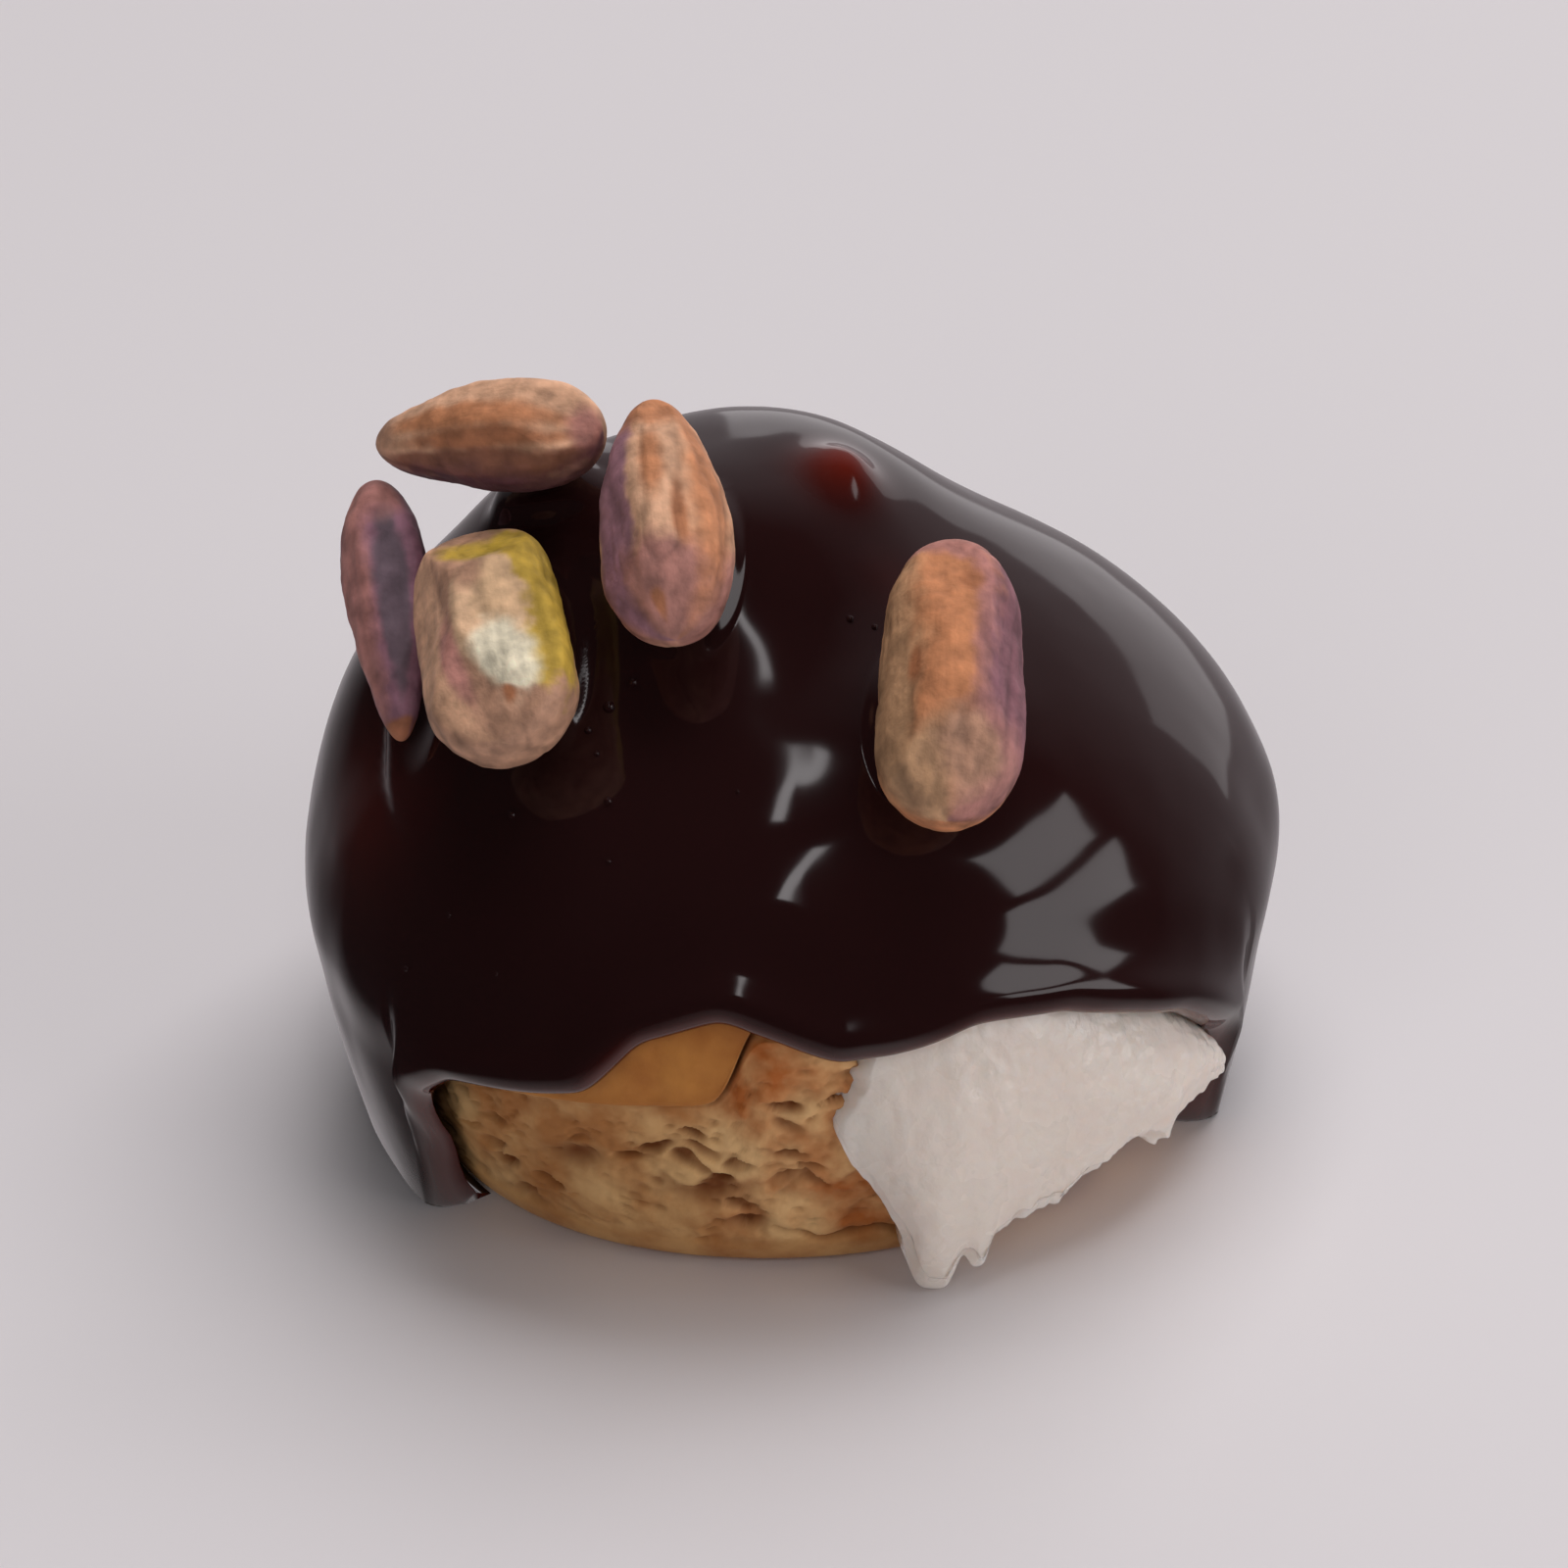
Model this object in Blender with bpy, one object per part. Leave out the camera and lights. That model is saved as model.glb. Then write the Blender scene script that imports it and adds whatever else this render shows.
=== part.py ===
"""Cream puff under chocolate sauce: a choux bun cut across, filled and topped with pistachio kernels.

Lengths are in millimetres and angles in degrees; closed_body() turns them into metres. The origin is the
middle of the flat foot that the puff rests on, +Z is up, and the open side, where the cream swells out,
faces -Y and +X. An azimuth is counted from +X towards +Y, and a tilt is the angle above the bun's widest
line. Each layer is one closed grid of rings, and layers that touch stay GAP apart."""

import bpy
import numpy as np
from mathutils import Matrix

MM = 0.001
GAP = 0.3

# The whole puff, over its sauce
WIDTH = 56.0
DEPTH = 53.0
WAIST = 14.5
SHOULDER_HEIGHT = 36.0
# Lobes of the dome: rise, centre in plan, reach
LOBES = [(5.0, (-3.0, 5.0), 12.3), (3.5, (-18.0, 5.0), 8.0)]
LOBE_FADE = 14

# Sauce: its thickness, its rounded lip, and the height of its lower edge round the puff
SAUCE_SIDE = 1.6
SAUCE_TOP = 1.1
LIP_DROP = 0.9
CURTAIN_TUCK = 2.3
CURTAIN_HEIGHT = 8.0
SLACK = 0.6
SAUCE_EDGE = [
    (-148, 0), (-140, 10.5), (-133, 13.2), (-121, 14.0), (-115, 14.6), (-109, 18.6), (-99, 20.0),
    (-92, 18.6), (-85, 16.7), (-79, 16.8), (-68, 17.7), (-56, 17.0), (-38, 13.0), (-24, 8.0), (-17, 0),
    (44, 0), (58, 9.5), (72, 7.5), (80, 0), (88, 0), (98, 10.5), (112, 8.0), (122, 1.5), (128, 1.5),
    (138, 8.0), (150, 0),
]

# Crust: the cap above the cut, and the bowl of the base below it
CRUST_X = WIDTH / 2 - SAUCE_SIDE - GAP
CRUST_Y = DEPTH / 2 - SAUCE_SIDE - GAP
CRUST_RISE = SHOULDER_HEIGHT - SAUCE_TOP - GAP - WAIST
CUT_HEIGHT = 12.2
CUT_TILT = 2.6
CUT_TILT_AZIMUTH = -40
CUT_RADII = (9.5, 14.0, 18.4, 22.0)
CUT_EDGE_LIFT = [(-99, 0), (-92, 3.6), (-74, 3.4), (-38, 3.0), (-20, 0), (80, 0)]
FOOT_FLAT = 18.5
FOOT_RADIUS = 20.5
FOOT_ROUND = 0.45
RIM_RADIUS = 24.2
RIM_WIDTH = 3.4
RIM_ROUND = 0.6
BOWL_HEIGHT = 13.5
CAVITY_RADIUS = 18.4
CAVITY_FLOOR = 6.0
RIM_DROP = [(-155, 0.4), (-97, 0.6), (-90, 0.9), (-85, 3.0), (-78, 7.5), (-60, 8.5), (-34, 7.5), (-16, 0.4)]

# Cream: where it spills over the base, how low it hangs, how far out it swells, and the gap up to the sauce
CREAM_SPILL = [(-90, 0), (-83, 1), (-24, 1), (-15, 0), (80, 0)]
CREAM_HEM = [
    (-88, 13.5), (-84, 10.5), (-79, 6.6), (-76, 3.4), (-73, 0.3), (-70, 2.2), (-67, 1.0), (-62, 3.8),
    (-54, 4.2), (-48, 5.4), (-42, 5.0), (-39, 3.2), (-36, 5.0), (-26, 4.6), (-18, 5.4),
]
CREAM_SWELL = 27.8
CREAM_NECK = 25.5
CREAM_FOOT = 4.0
CREAM_TO_SAUCE = 1.0

# Kernels: length, width, thickness, point, then azimuth and tilt of the seat, heading in plan, pitch, lift
KERNELS = {
    "pistachio_front": (17.6, 8.8, 8.8, 0.08, -60.7, 52.3, 92, 0.5, 0),
    "pistachio_crown": (15.2, 8.2, 8.2, 0.35, -134, 74, 88, -3, -0.3),
    "pistachio_peeled": (16.5, 9.3, 8.5, 0.06, -146.5, 54, 89, -6.5, 0.2),
    "pistachio_shoulder": (14.5, 7.2, 7.0, 0.35, 168, 59, 163, 7.5, 0.1),
    "pistachio_flank": (15.8, 5.6, 5.1, 0.40, 183.5, 43.5, -112.5, -6, -0.2),
}
KERNEL_BOW = 0.5
KERNEL_UNDERSIDE = 0.475

# Rings are crowded together at the open side, where the layers show
OPEN_SIDE = -85
COLUMNS = 68
CROWDING = 0.5
# Tilts of the rings on the dome, shared by layers that lie on each other, and shares of the way below them;
# shares of the base's wall, and turns round the sauce's lip
INNER_TILTS = (82, 66, 50, 35, 22)
OUTER_TILTS = (85, 77, 69, 61, 53, 45, 37, 29, 22)
LOWER_SHARES = (0.25, 0.5, 0.78, 1.0)
WALL_SHARES = (0.1, 0.28, 0.5, 0.75, 0.94)
LIP_TURNS = (25, 90, 155)

CHOUX_CUT = (0.62, 0.40, 0.19, 1)
CHOUX_CRUST = (0.60, 0.33, 0.11, 1)
CREAM = (0.83, 0.77, 0.71, 1)
SAUCE = (0.020, 0.007, 0.006, 1)
KERNEL_SKIN = (0.36, 0.17, 0.12, 1)


def clear_scene():
    for old in list(bpy.data.objects):
        bpy.data.objects.remove(old)


def smooth(value):
    """Rises softly from 0 at 0 to 1 at 1."""
    part = np.clip(value, 0, 1)
    return part * part * (3 - 2 * part)


def mix(first, second, share):
    return first * (1 - share) + second * share


def around(corners, azimuth, softness=2.0):
    """Value at an azimuth on the closed line through (azimuth, value) corners, which softness rounds off."""
    step = 0.5
    fine = np.arange(-180, 180, step)
    offset = np.minimum(fine + 180, 180 - fine)
    places, values = np.array(corners, float).T
    line = np.interp(fine, places, values, period=360)
    weight = np.exp(-((offset / softness) ** 2))
    soft = np.fft.ifft(np.fft.fft(line) * np.fft.fft(weight / weight.sum())).real
    return np.interp(azimuth, fine, soft, period=360)


def columns():
    """Azimuths of the rings' points, closer together near the open side."""
    turn = np.arange(COLUMNS) / COLUMNS * 2 * np.pi
    return OPEN_SIDE + np.degrees(turn - CROWDING * np.sin(turn))


def in_plan(azimuth, radius, height):
    """Points at a radius measured along +X, on a plan as much shallower in Y as the bun is."""
    angle = np.radians(azimuth)
    flat = CRUST_Y / CRUST_X
    parts = np.broadcast_arrays(radius * np.cos(angle), flat * radius * np.sin(angle), height)
    return np.stack(parts, -1)


def lobes(azimuth, radius):
    """Extra height of the broad lobes on top, where the batter was drawn up."""
    x, y = np.moveaxis(in_plan(azimuth, radius, 0 * radius), -1, 0)[:2]
    height = 0 * x
    for rise, centre, reach in LOBES:
        away = np.hypot(x - centre[0], y - centre[1]) / reach
        height = height + rise * np.exp(-(away**4))
    return height


def lumps(azimuth, tilt):
    """Uneven swelling of the bun, fading out at the pole."""
    angle, slope = np.radians(azimuth), np.radians(tilt)
    wave = 0.30 * np.sin(2 * angle + 0.6) + 0.25 * np.sin(3 * angle + 2.1 + slope)
    return (wave + 0.22 * np.sin(5 * angle + 0.9 - 2 * slope)) * np.cos(slope) ** 2


def crust(azimuth, tilt, offset=0.0):
    """Radius and height of the bun's skin, or of a layer at an offset outside it."""
    slope = np.radians(tilt)
    out = np.cos(slope) * (CRUST_X + offset + lumps(azimuth, tilt))
    up = np.sin(slope) * (CRUST_RISE + np.where(slope > 0, offset, 0))
    return out, WAIST + up + lobes(azimuth, out) * smooth(tilt / LOBE_FADE)


def crust_tilt(height):
    return np.degrees(np.arcsin(np.clip((height - WAIST) / CRUST_RISE, -0.98, 0.98)))


def cut(azimuth, radius):
    """Height of the knife's cut, a tilted plane whose edge is torn upwards over the cream."""
    slope = np.cos(np.radians(azimuth - CUT_TILT_AZIMUTH)) * radius / RIM_RADIUS
    return CUT_HEIGHT + CUT_TILT * slope + around(CUT_EDGE_LIFT, azimuth) * smooth((radius - 12) / 11)


def rim_height(azimuth):
    return cut(azimuth, RIM_RADIUS) - around(RIM_DROP, azimuth)


def bowl(azimuth, height):
    """Outer radius of the base, a quarter of an ellipse from the foot up to the rim."""
    rest = np.clip(1 - height / BOWL_HEIGHT, 0, 1)
    return FOOT_RADIUS + (RIM_RADIUS - FOOT_RADIUS) * np.sqrt(1 - rest**2) + 0.5 * lumps(azimuth, 0)


def sauce_edge(azimuth):
    return around(SAUCE_EDGE, azimuth)


def dome_tilts(fixed, last):
    """Tilts of the rings from the pole down: the same ones on the dome, then on to the layer's own edge."""
    return [tilt + 0 * last for tilt in fixed] + [mix(fixed[-1], last, share) for share in LOWER_SHARES]


def base_rings(azimuth, grow=0.0):
    """Foot, wall, rim and cavity of the base. The grown copy is what the cream is cut to."""
    level = 0 * azimuth
    rim = rim_height(azimuth)
    foot = -5 * grow
    floor = CAVITY_FLOOR + grow
    rows = [(0.5 * FOOT_FLAT + level, foot + level)]
    rows.append((FOOT_FLAT + grow + level, foot + level))
    rows.append((FOOT_RADIUS + grow + level, FOOT_ROUND + level))
    rows += [(bowl(azimuth, share * rim) + grow, share * rim) for share in WALL_SHARES]
    rows.append((bowl(azimuth, rim) - RIM_ROUND + grow, rim + grow))
    rows.append((bowl(azimuth, rim) - RIM_WIDTH - grow, rim + grow))
    rows.append((CAVITY_RADIUS - grow + level, floor + level))
    rows.append((0.5 * CAVITY_RADIUS + level, floor + level))
    return rows, foot, floor


def cap_rings(azimuth):
    edge = cut(azimuth, RIM_RADIUS)
    start = crust_tilt(edge)
    edge_radius = crust(azimuth, start)[0]
    rows = [(radius + 0 * edge, cut(azimuth, radius)) for radius in CUT_RADII]
    rows.append((0.98 * edge_radius, cut(azimuth, 0.98 * edge_radius)))
    rows += [crust(azimuth, tilt) for tilt in dome_tilts(INNER_TILTS, start)[::-1]]
    return rows, CUT_HEIGHT, SHOULDER_HEIGHT - SAUCE_TOP - GAP


def cream_rings(azimuth):
    """Cream between the cut faces, swelling out over the base on the open side. The base is cut from it."""
    top = cut(azimuth, CAVITY_RADIUS) - GAP
    lip = np.minimum(sauce_edge(azimuth), top) - CREAM_TO_SAUCE
    spill = smooth(around(CREAM_SPILL, azimuth, 1.0))
    hem = mix(CAVITY_FLOOR, around(CREAM_HEM, azimuth, 0.8), spill)
    neck = mix(CAVITY_RADIUS + 1.5, CREAM_NECK, spill)
    swell = mix(neck, CREAM_SWELL, smooth((lip - hem) / 3) * spill)
    lip = np.minimum(np.maximum(lip, hem + 1.5), top - 0.5)
    rows = [(share * CAVITY_RADIUS + 0 * hem, CREAM_FOOT + 0 * hem) for share in (0.5, 0.95)]
    rows += [(swell - 1.2, hem), (swell - 0.5, hem + 0.3), (swell, mix(hem, lip, 0.45))]
    rows += [(mix(swell, neck, 0.6), mix(hem, lip, 0.85)), (neck, lip)]
    on_top = [neck - 0.4] + [np.minimum(radius, neck - 0.9) for radius in CUT_RADII[::-1]]
    rows += [(radius, cut(azimuth, radius) - GAP) for radius in on_top]
    return rows, CREAM_FOOT, CUT_HEIGHT - GAP


def sauce_side(azimuth, tilt):
    """Inner and outer point of the coat. Where it runs down to the floor it hangs as an upright curtain."""
    edge = sauce_edge(azimuth)
    radius, height = crust(azimuth, tilt, GAP)
    radius = np.maximum(radius, np.where(tilt < 0, bowl(azimuth, height) + GAP, 0))
    radius = radius + SLACK * smooth((15 - tilt) / 20)
    level = np.radians(np.maximum(tilt, 0))
    thick = mix(SAUCE_SIDE, SAUCE_TOP, np.sin(level) ** 2)
    curtain = CRUST_X + GAP + SAUCE_SIDE - CURTAIN_TUCK * np.clip(1 - height / WAIST, 0, 1) ** 1.5
    hanging = smooth(1 - edge / CURTAIN_HEIGHT) * smooth((15 - tilt) / 30)
    outer = mix(radius + thick * np.cos(level), curtain, hanging)
    return (radius, height), (outer, height + thick * np.sin(level))


def sauce_rings(azimuth):
    """Down the inner side, round the lip and up the outer side."""
    edge = sauce_edge(azimuth)
    last = crust_tilt(edge + LIP_DROP)
    inner = [sauce_side(azimuth, tilt)[0] for tilt in dome_tilts(INNER_TILTS, last)]
    outer = [sauce_side(azimuth, tilt)[1] for tilt in dome_tilts(OUTER_TILTS, last)]
    lip = []
    for turn in LIP_TURNS:
        share = (1 - np.cos(np.radians(turn))) / 2
        radius = mix(inner[-1][0], outer[-1][0], share)
        lip.append((radius, edge + LIP_DROP * (1 - np.sqrt(np.sin(np.radians(turn))))))
    return inner + lip + outer[::-1], SHOULDER_HEIGHT - SAUCE_TOP, SHOULDER_HEIGHT


def closed_body(name, rings, start, end, colour):
    """One closed mesh from rings of points, with a pole at each end, in metres."""
    rings = np.asarray(rings)
    count, around_count = rings.shape[:2]
    points = np.concatenate([rings.reshape(-1, 3), [start, end]]) * MM
    index = np.arange(count * around_count).reshape(count, around_count)
    after = np.roll(index, -1, axis=1)
    quads = np.stack([index[:-1], after[:-1], after[1:], index[1:]], -1).reshape(-1, 4)
    first = np.stack([after[0], index[0], np.full(around_count, count * around_count)], -1)
    last = np.stack([index[-1], after[-1], np.full(around_count, count * around_count + 1)], -1)
    mesh = bpy.data.meshes.new(name)
    mesh.from_pydata(points.tolist(), [], quads.tolist() + first.tolist() + last.tolist())
    mesh.shade_smooth()
    body = bpy.data.objects.new(name, mesh)
    bpy.context.collection.objects.link(body)
    mesh.materials.append(material(name, *colour))
    return body


def material(name, colour, roughness):
    made = bpy.data.materials.new(name)
    made.use_nodes = True
    shader = made.node_tree.nodes["Principled BSDF"]
    shader.inputs["Base Color"].default_value = colour
    shader.inputs["Roughness"].default_value = roughness
    return made


def layer(name, maker, colour):
    """A body turned about the puff's own axis, whose section changes from azimuth to azimuth."""
    azimuth = columns()
    rows, low, high = maker(azimuth)
    rings = [in_plan(azimuth, radius, height) for radius, height in rows]
    low_pole = (0, 0, low + pole_lift(low))
    return closed_body(name, rings, low_pole, (0, 0, high + pole_lift(high)), colour)


def pole_lift(height):
    """The lobes' height above the pole, for the poles that lie in the dome."""
    return float(lobes(np.zeros(1), np.zeros(1))[0]) if height > WAIST + 10 else 0.0


def kernel_rings(length, width, thickness, point):
    """A pistachio kernel lying along X: blunt at the root, drawn in towards the tip, with a keel."""
    turn = np.radians(np.arange(12) * 30)
    rings = []
    for share in (0.02, 0.09, 0.2, 0.34, 0.5, 0.66, 0.8, 0.91, 0.98):
        along = 2 * share - 1
        girth = (1 - abs(along) ** 2.6) ** 0.5 * (1 - point * smooth(share) ** 2)
        keel = 1 + 0.07 * np.exp(-(((turn - 1.9) / 0.5) ** 2)) - 0.05 * np.exp(-(((turn - 4.6) / 0.7) ** 2))
        y = girth * keel * width / 2 * np.cos(turn)
        z = girth * keel * thickness / 2 * np.sin(turn) + KERNEL_BOW * (1 - along**2)
        rings.append(np.stack([np.full(12, length * along / 2), y, z], -1))
    return rings


def kernel(name, length, width, thickness, point, *seating):
    rings = kernel_rings(length, width, thickness, point)
    body = closed_body(name, rings, (-length / 2, 0, 0), (length / 2, 0, 0), (KERNEL_SKIN, 0.6))
    body.matrix_world = seat(KERNEL_UNDERSIDE * thickness - KERNEL_BOW, *seating)
    return body


def on_sauce(azimuth, tilt):
    radius, height = crust(np.array([azimuth]), np.array([tilt]), GAP)
    level = np.radians(tilt)
    thick = mix(SAUCE_SIDE, SAUCE_TOP, np.sin(level) ** 2)
    return in_plan(azimuth, radius + thick * np.cos(level), height + thick * np.sin(level))[0]


def seat(below, azimuth, tilt, heading, pitch, lift):
    """Placing of a kernel that reaches so far below its origin: on the sauce, tip towards the heading."""
    here = on_sauce(azimuth, tilt)
    normal = np.cross(on_sauce(azimuth + 2, tilt) - here, on_sauce(azimuth, tilt + 2) - here)
    normal /= np.linalg.norm(normal)
    aim = np.array([np.cos(np.radians(heading)), np.sin(np.radians(heading)), 0])
    aim -= normal * (aim @ normal)
    aim /= np.linalg.norm(aim)
    axes = np.stack([aim, np.cross(normal, aim), normal, (here + normal * (below + GAP + lift)) * MM], 1)
    frame = Matrix([*axes.tolist(), [0, 0, 0, 1]])
    return frame @ Matrix.Rotation(np.radians(-pitch), 4, "Y")


def grown_base(azimuth):
    return base_rings(azimuth, GAP)


def cut_away(body, cutter):
    cutter.hide_render = True
    cutter.display_type = "WIRE"
    modifier = body.modifiers.new("cut to the base", "BOOLEAN")
    modifier.operation = "DIFFERENCE"
    modifier.object = cutter


def main():
    clear_scene()
    layer("choux_base", base_rings, (CHOUX_CUT, 0.8))
    layer("choux_cap", cap_rings, (CHOUX_CRUST, 0.6))
    layer("chocolate_sauce", sauce_rings, (SAUCE, 0.12))
    cream = layer("cream_filling", cream_rings, (CREAM, 0.45))
    cut_away(cream, layer("base_cutter", grown_base, (CREAM, 0.45)))
    for name, sizes in KERNELS.items():
        kernel(name, *sizes)


main()
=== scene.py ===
# %% [markdown]
# # A cream puff under chocolate sauce
# A choux bun is cut across, filled with whipped cream, closed again and flooded with warm chocolate sauce,
# and whole pistachio kernels are pressed into the sauce before it sets. The puff here has the same layers.
# The sauce comes first, because the cream below it is shaped to end at its edge. Each layer is one smooth
# formula over two numbers, an azimuth round the puff and a tilt or a share along it, and the unevenness that
# makes food look real is added to that formula as noise.

# %% Load the frame
import bpy
import numpy as np
from mathutils import Matrix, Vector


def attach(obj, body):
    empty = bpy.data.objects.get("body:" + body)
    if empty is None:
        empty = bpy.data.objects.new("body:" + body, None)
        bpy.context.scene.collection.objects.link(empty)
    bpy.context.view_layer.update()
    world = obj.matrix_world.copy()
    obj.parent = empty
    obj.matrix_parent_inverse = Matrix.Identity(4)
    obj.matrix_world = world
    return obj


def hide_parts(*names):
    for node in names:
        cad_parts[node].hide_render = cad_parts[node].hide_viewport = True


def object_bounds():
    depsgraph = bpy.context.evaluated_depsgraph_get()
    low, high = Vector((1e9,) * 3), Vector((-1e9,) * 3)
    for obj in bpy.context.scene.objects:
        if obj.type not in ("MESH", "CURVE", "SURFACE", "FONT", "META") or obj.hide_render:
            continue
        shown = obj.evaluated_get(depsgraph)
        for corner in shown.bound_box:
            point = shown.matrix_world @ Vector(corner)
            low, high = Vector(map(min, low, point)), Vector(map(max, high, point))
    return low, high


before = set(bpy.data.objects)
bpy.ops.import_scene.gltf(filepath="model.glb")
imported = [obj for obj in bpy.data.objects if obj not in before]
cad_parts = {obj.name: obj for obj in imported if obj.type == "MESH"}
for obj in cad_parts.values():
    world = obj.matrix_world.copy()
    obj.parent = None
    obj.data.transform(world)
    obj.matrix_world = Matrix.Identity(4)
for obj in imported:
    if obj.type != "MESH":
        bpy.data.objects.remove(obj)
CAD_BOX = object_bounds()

print("pieces in the frame:", sorted(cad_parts))
print("size of the puff in mm:", [round(1000 * (high - low), 1) for low, high in zip(*CAD_BOX)])

# %% [markdown]
# ## Units and small helpers
# Blender works in metres, and a pastry is easier to think about in millimetres. Everything below is worked
# out in millimetres and degrees, and only the function that fills a mesh turns them into metres.

# %% Soft steps and mixtures
MM = 0.001


def smooth(value):
    """Rises softly from 0 at 0 to 1 at 1: three times the square less twice the cube."""
    part = np.clip(value, 0, 1)
    return part * part * (3 - 2 * part)


def mix(first, second, share):
    return first * (1 - share) + second * share


def bump(distance, reach):
    """A round hill one high: the bell curve of the distance counted in reaches."""
    return np.exp(-((distance / reach) ** 2))


# %% [markdown]
# ## Noise
# Bread crumb, wrinkled skin and a lumpy sauce all need noise. Two kinds are enough. The first blends random
# values on a lattice, so it gives soft hills of a chosen width. The second measures how far a point lies from
# the nearest of many scattered seeds, so it gives round cells, such as the bubbles in a baked dough. Both are
# worked out for a whole array of points at once, and both give the same numbers on every run.

# %% Two kinds of noise
def chance(cell, seed):
    """A fixed random number from 0 to 1 for each lattice cell, made by scrambling its whole coordinates."""
    x, y, z = np.moveaxis(cell.astype(np.int64), -1, 0)
    value = (x * 73856093) ^ (y * 19349663) ^ (z * 83492791) ^ (seed * 2971215073)
    value = ((value ^ (value >> 13)) * 1274126177) & 0xFFFFFFFF
    value = ((value ^ (value >> 15)) * 2246822519) & 0xFFFFFFFF
    return (value ^ (value >> 16)) % 65536 / 65535


def hills(points, width, seed=0):
    """Noise from -1 to 1: values at the eight corners of a lattice cell, blended by soft steps."""
    places = points / width + 0.37 * seed
    cell = np.floor(places)
    part = smooth(places - cell)
    total = 0
    for corner in np.ndindex(2, 2, 2):
        weight = np.prod(np.where(corner, part, 1 - part), axis=-1)
        total = total + weight * chance(cell + corner, seed)
    return 2 * total - 1


def rough(points, width, seed=0, layers=3):
    """Hills with smaller hills on them: each layer is half as wide and half as high as the one before."""
    turned = points @ np.array([[0.80, 0.36, -0.48], [-0.60, 0.48, -0.64], [0, 0.80, 0.60]])
    total = sum(hills(turned, width / 2**step, seed + 7 * step) / 2**step for step in range(layers))
    return total / (2 - 0.5 ** (layers - 1))


def cells(points, width, seed=0):
    """Distance to the nearest scattered seed, in cell widths, and that seed's own random number."""
    places = points / width
    home = np.floor(places)
    nearest = np.full(places.shape[:-1], 9.0)
    number = np.zeros(places.shape[:-1])
    for shift in np.ndindex(3, 3, 3):
        cell = home + np.array(shift) - 1
        place = cell + np.stack([chance(cell, seed + axis) for axis in range(3)], -1)
        away = np.linalg.norm(place - places, axis=-1)
        closer = away < nearest
        nearest = np.where(closer, away, nearest)
        number = np.where(closer, chance(cell, seed + 5), number)
    return nearest, number


# %% [markdown]
# ## Meshes from grids
# Every new piece but the bubbles is a stack of closed rings with a pole at each end, like a sock that is sewn
# shut. A ring is a row of points round the piece, and each row has the same number of points, so the faces
# between two rows are plain quads. The order of the points makes the faces look outwards. Points can carry
# painted numbers too, which a material reads later.

# %% Objects in the scene
def placed(name, data):
    """An object that holds a mesh, a lamp or a camera, put in the scene at the origin."""
    thing = bpy.data.objects.new(name, data)
    bpy.context.scene.collection.objects.link(thing)
    return thing


def mesh_body(name, points, faces):
    """A smooth mesh of points in millimetres and of faces, which are lists of point numbers."""
    mesh = bpy.data.meshes.new(name)
    mesh.from_pydata((points * MM).tolist(), [], faces)
    mesh.shade_smooth()
    return placed(name, mesh)


# %% A closed body from rings, with numbers painted on its points
def closed_body(name, rings, start, end, painted=None):
    """Quads between neighbouring rings, and a fan of triangles round each pole."""
    rings = np.asarray(rings, float)
    rows, around_count = rings.shape[:2]
    points = np.concatenate([rings.reshape(-1, 3), [start, end]])
    index = np.arange(rows * around_count).reshape(rows, around_count)
    after = np.roll(index, -1, axis=1)
    quads = np.stack([index[:-1], after[:-1], after[1:], index[1:]], -1).reshape(-1, 4)
    low = np.stack([after[0], index[0], np.full(around_count, index.size)], -1)
    high = np.stack([index[-1], after[-1], np.full(around_count, index.size + 1)], -1)
    body = mesh_body(name, points, quads.tolist() + low.tolist() + high.tolist())
    for label, values in (painted or {}).items():
        paint(body.data, label, np.asarray(values, float).reshape(index.size, -1))
    print(f"{name}: {len(points)} points, {2 * len(quads) + 2 * around_count} triangles")
    return body


def paint(mesh, label, values):
    """Keeps a number, or three for a colour or a direction, for each point. The poles copy a neighbour."""
    values = np.concatenate([values, values[:1], values[-1:]])
    kind = "FLOAT" if values.shape[1] == 1 else "FLOAT_VECTOR"
    store = mesh.attributes.new(label, kind, "POINT")
    store.data.foreach_set("value" if kind == "FLOAT" else "vector", values.astype(np.float32).ravel())


def padded(values, before, low, after=0, high=0.0):
    """A wall's painted numbers, with rows of one low number before them and of one high number after them."""
    count = values.shape[1]
    return np.concatenate([np.full((before, count), low), values, np.full((after, count), high)])


def outward(grid):
    """Unit normals of a grid of points, from the steps to its neighbours along a ring and between rings."""
    along = np.roll(grid, -1, axis=1) - np.roll(grid, 1, axis=1)
    across = np.gradient(grid, axis=0)
    normal = np.cross(along, across)
    return normal / np.maximum(np.linalg.norm(normal, axis=-1, keepdims=True), 1e-9)


# %% [markdown]
# ## The bun's own shape
# The layers of the puff follow each other: the cream lies on the crumb and the sauce runs over the crust.
# They share a few formulas, the same ones that made the frame. The widest line of the bun is an ellipse, the
# dome above it is round with two broad lobes where the batter was drawn up, and slow waves make it uneven.

# %% Shared sizes, in millimetres
# A lobe is its rise, its centre in plan and its reach; lobes fade in over the first LOBE_FADE degrees of tilt
GAP = 0.3
CRUST_X, CRUST_Y = 26.1, 24.6
WAIST = 14.5
CRUST_RISE = 20.1
SHOULDER_HEIGHT = 36.0
LOBES = [(5.0, (-3.0, 5.0), 12.3), (3.5, (-18.0, 5.0), 8.0)]
LOBE_FADE = 14
OPEN_SIDE = -85


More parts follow.
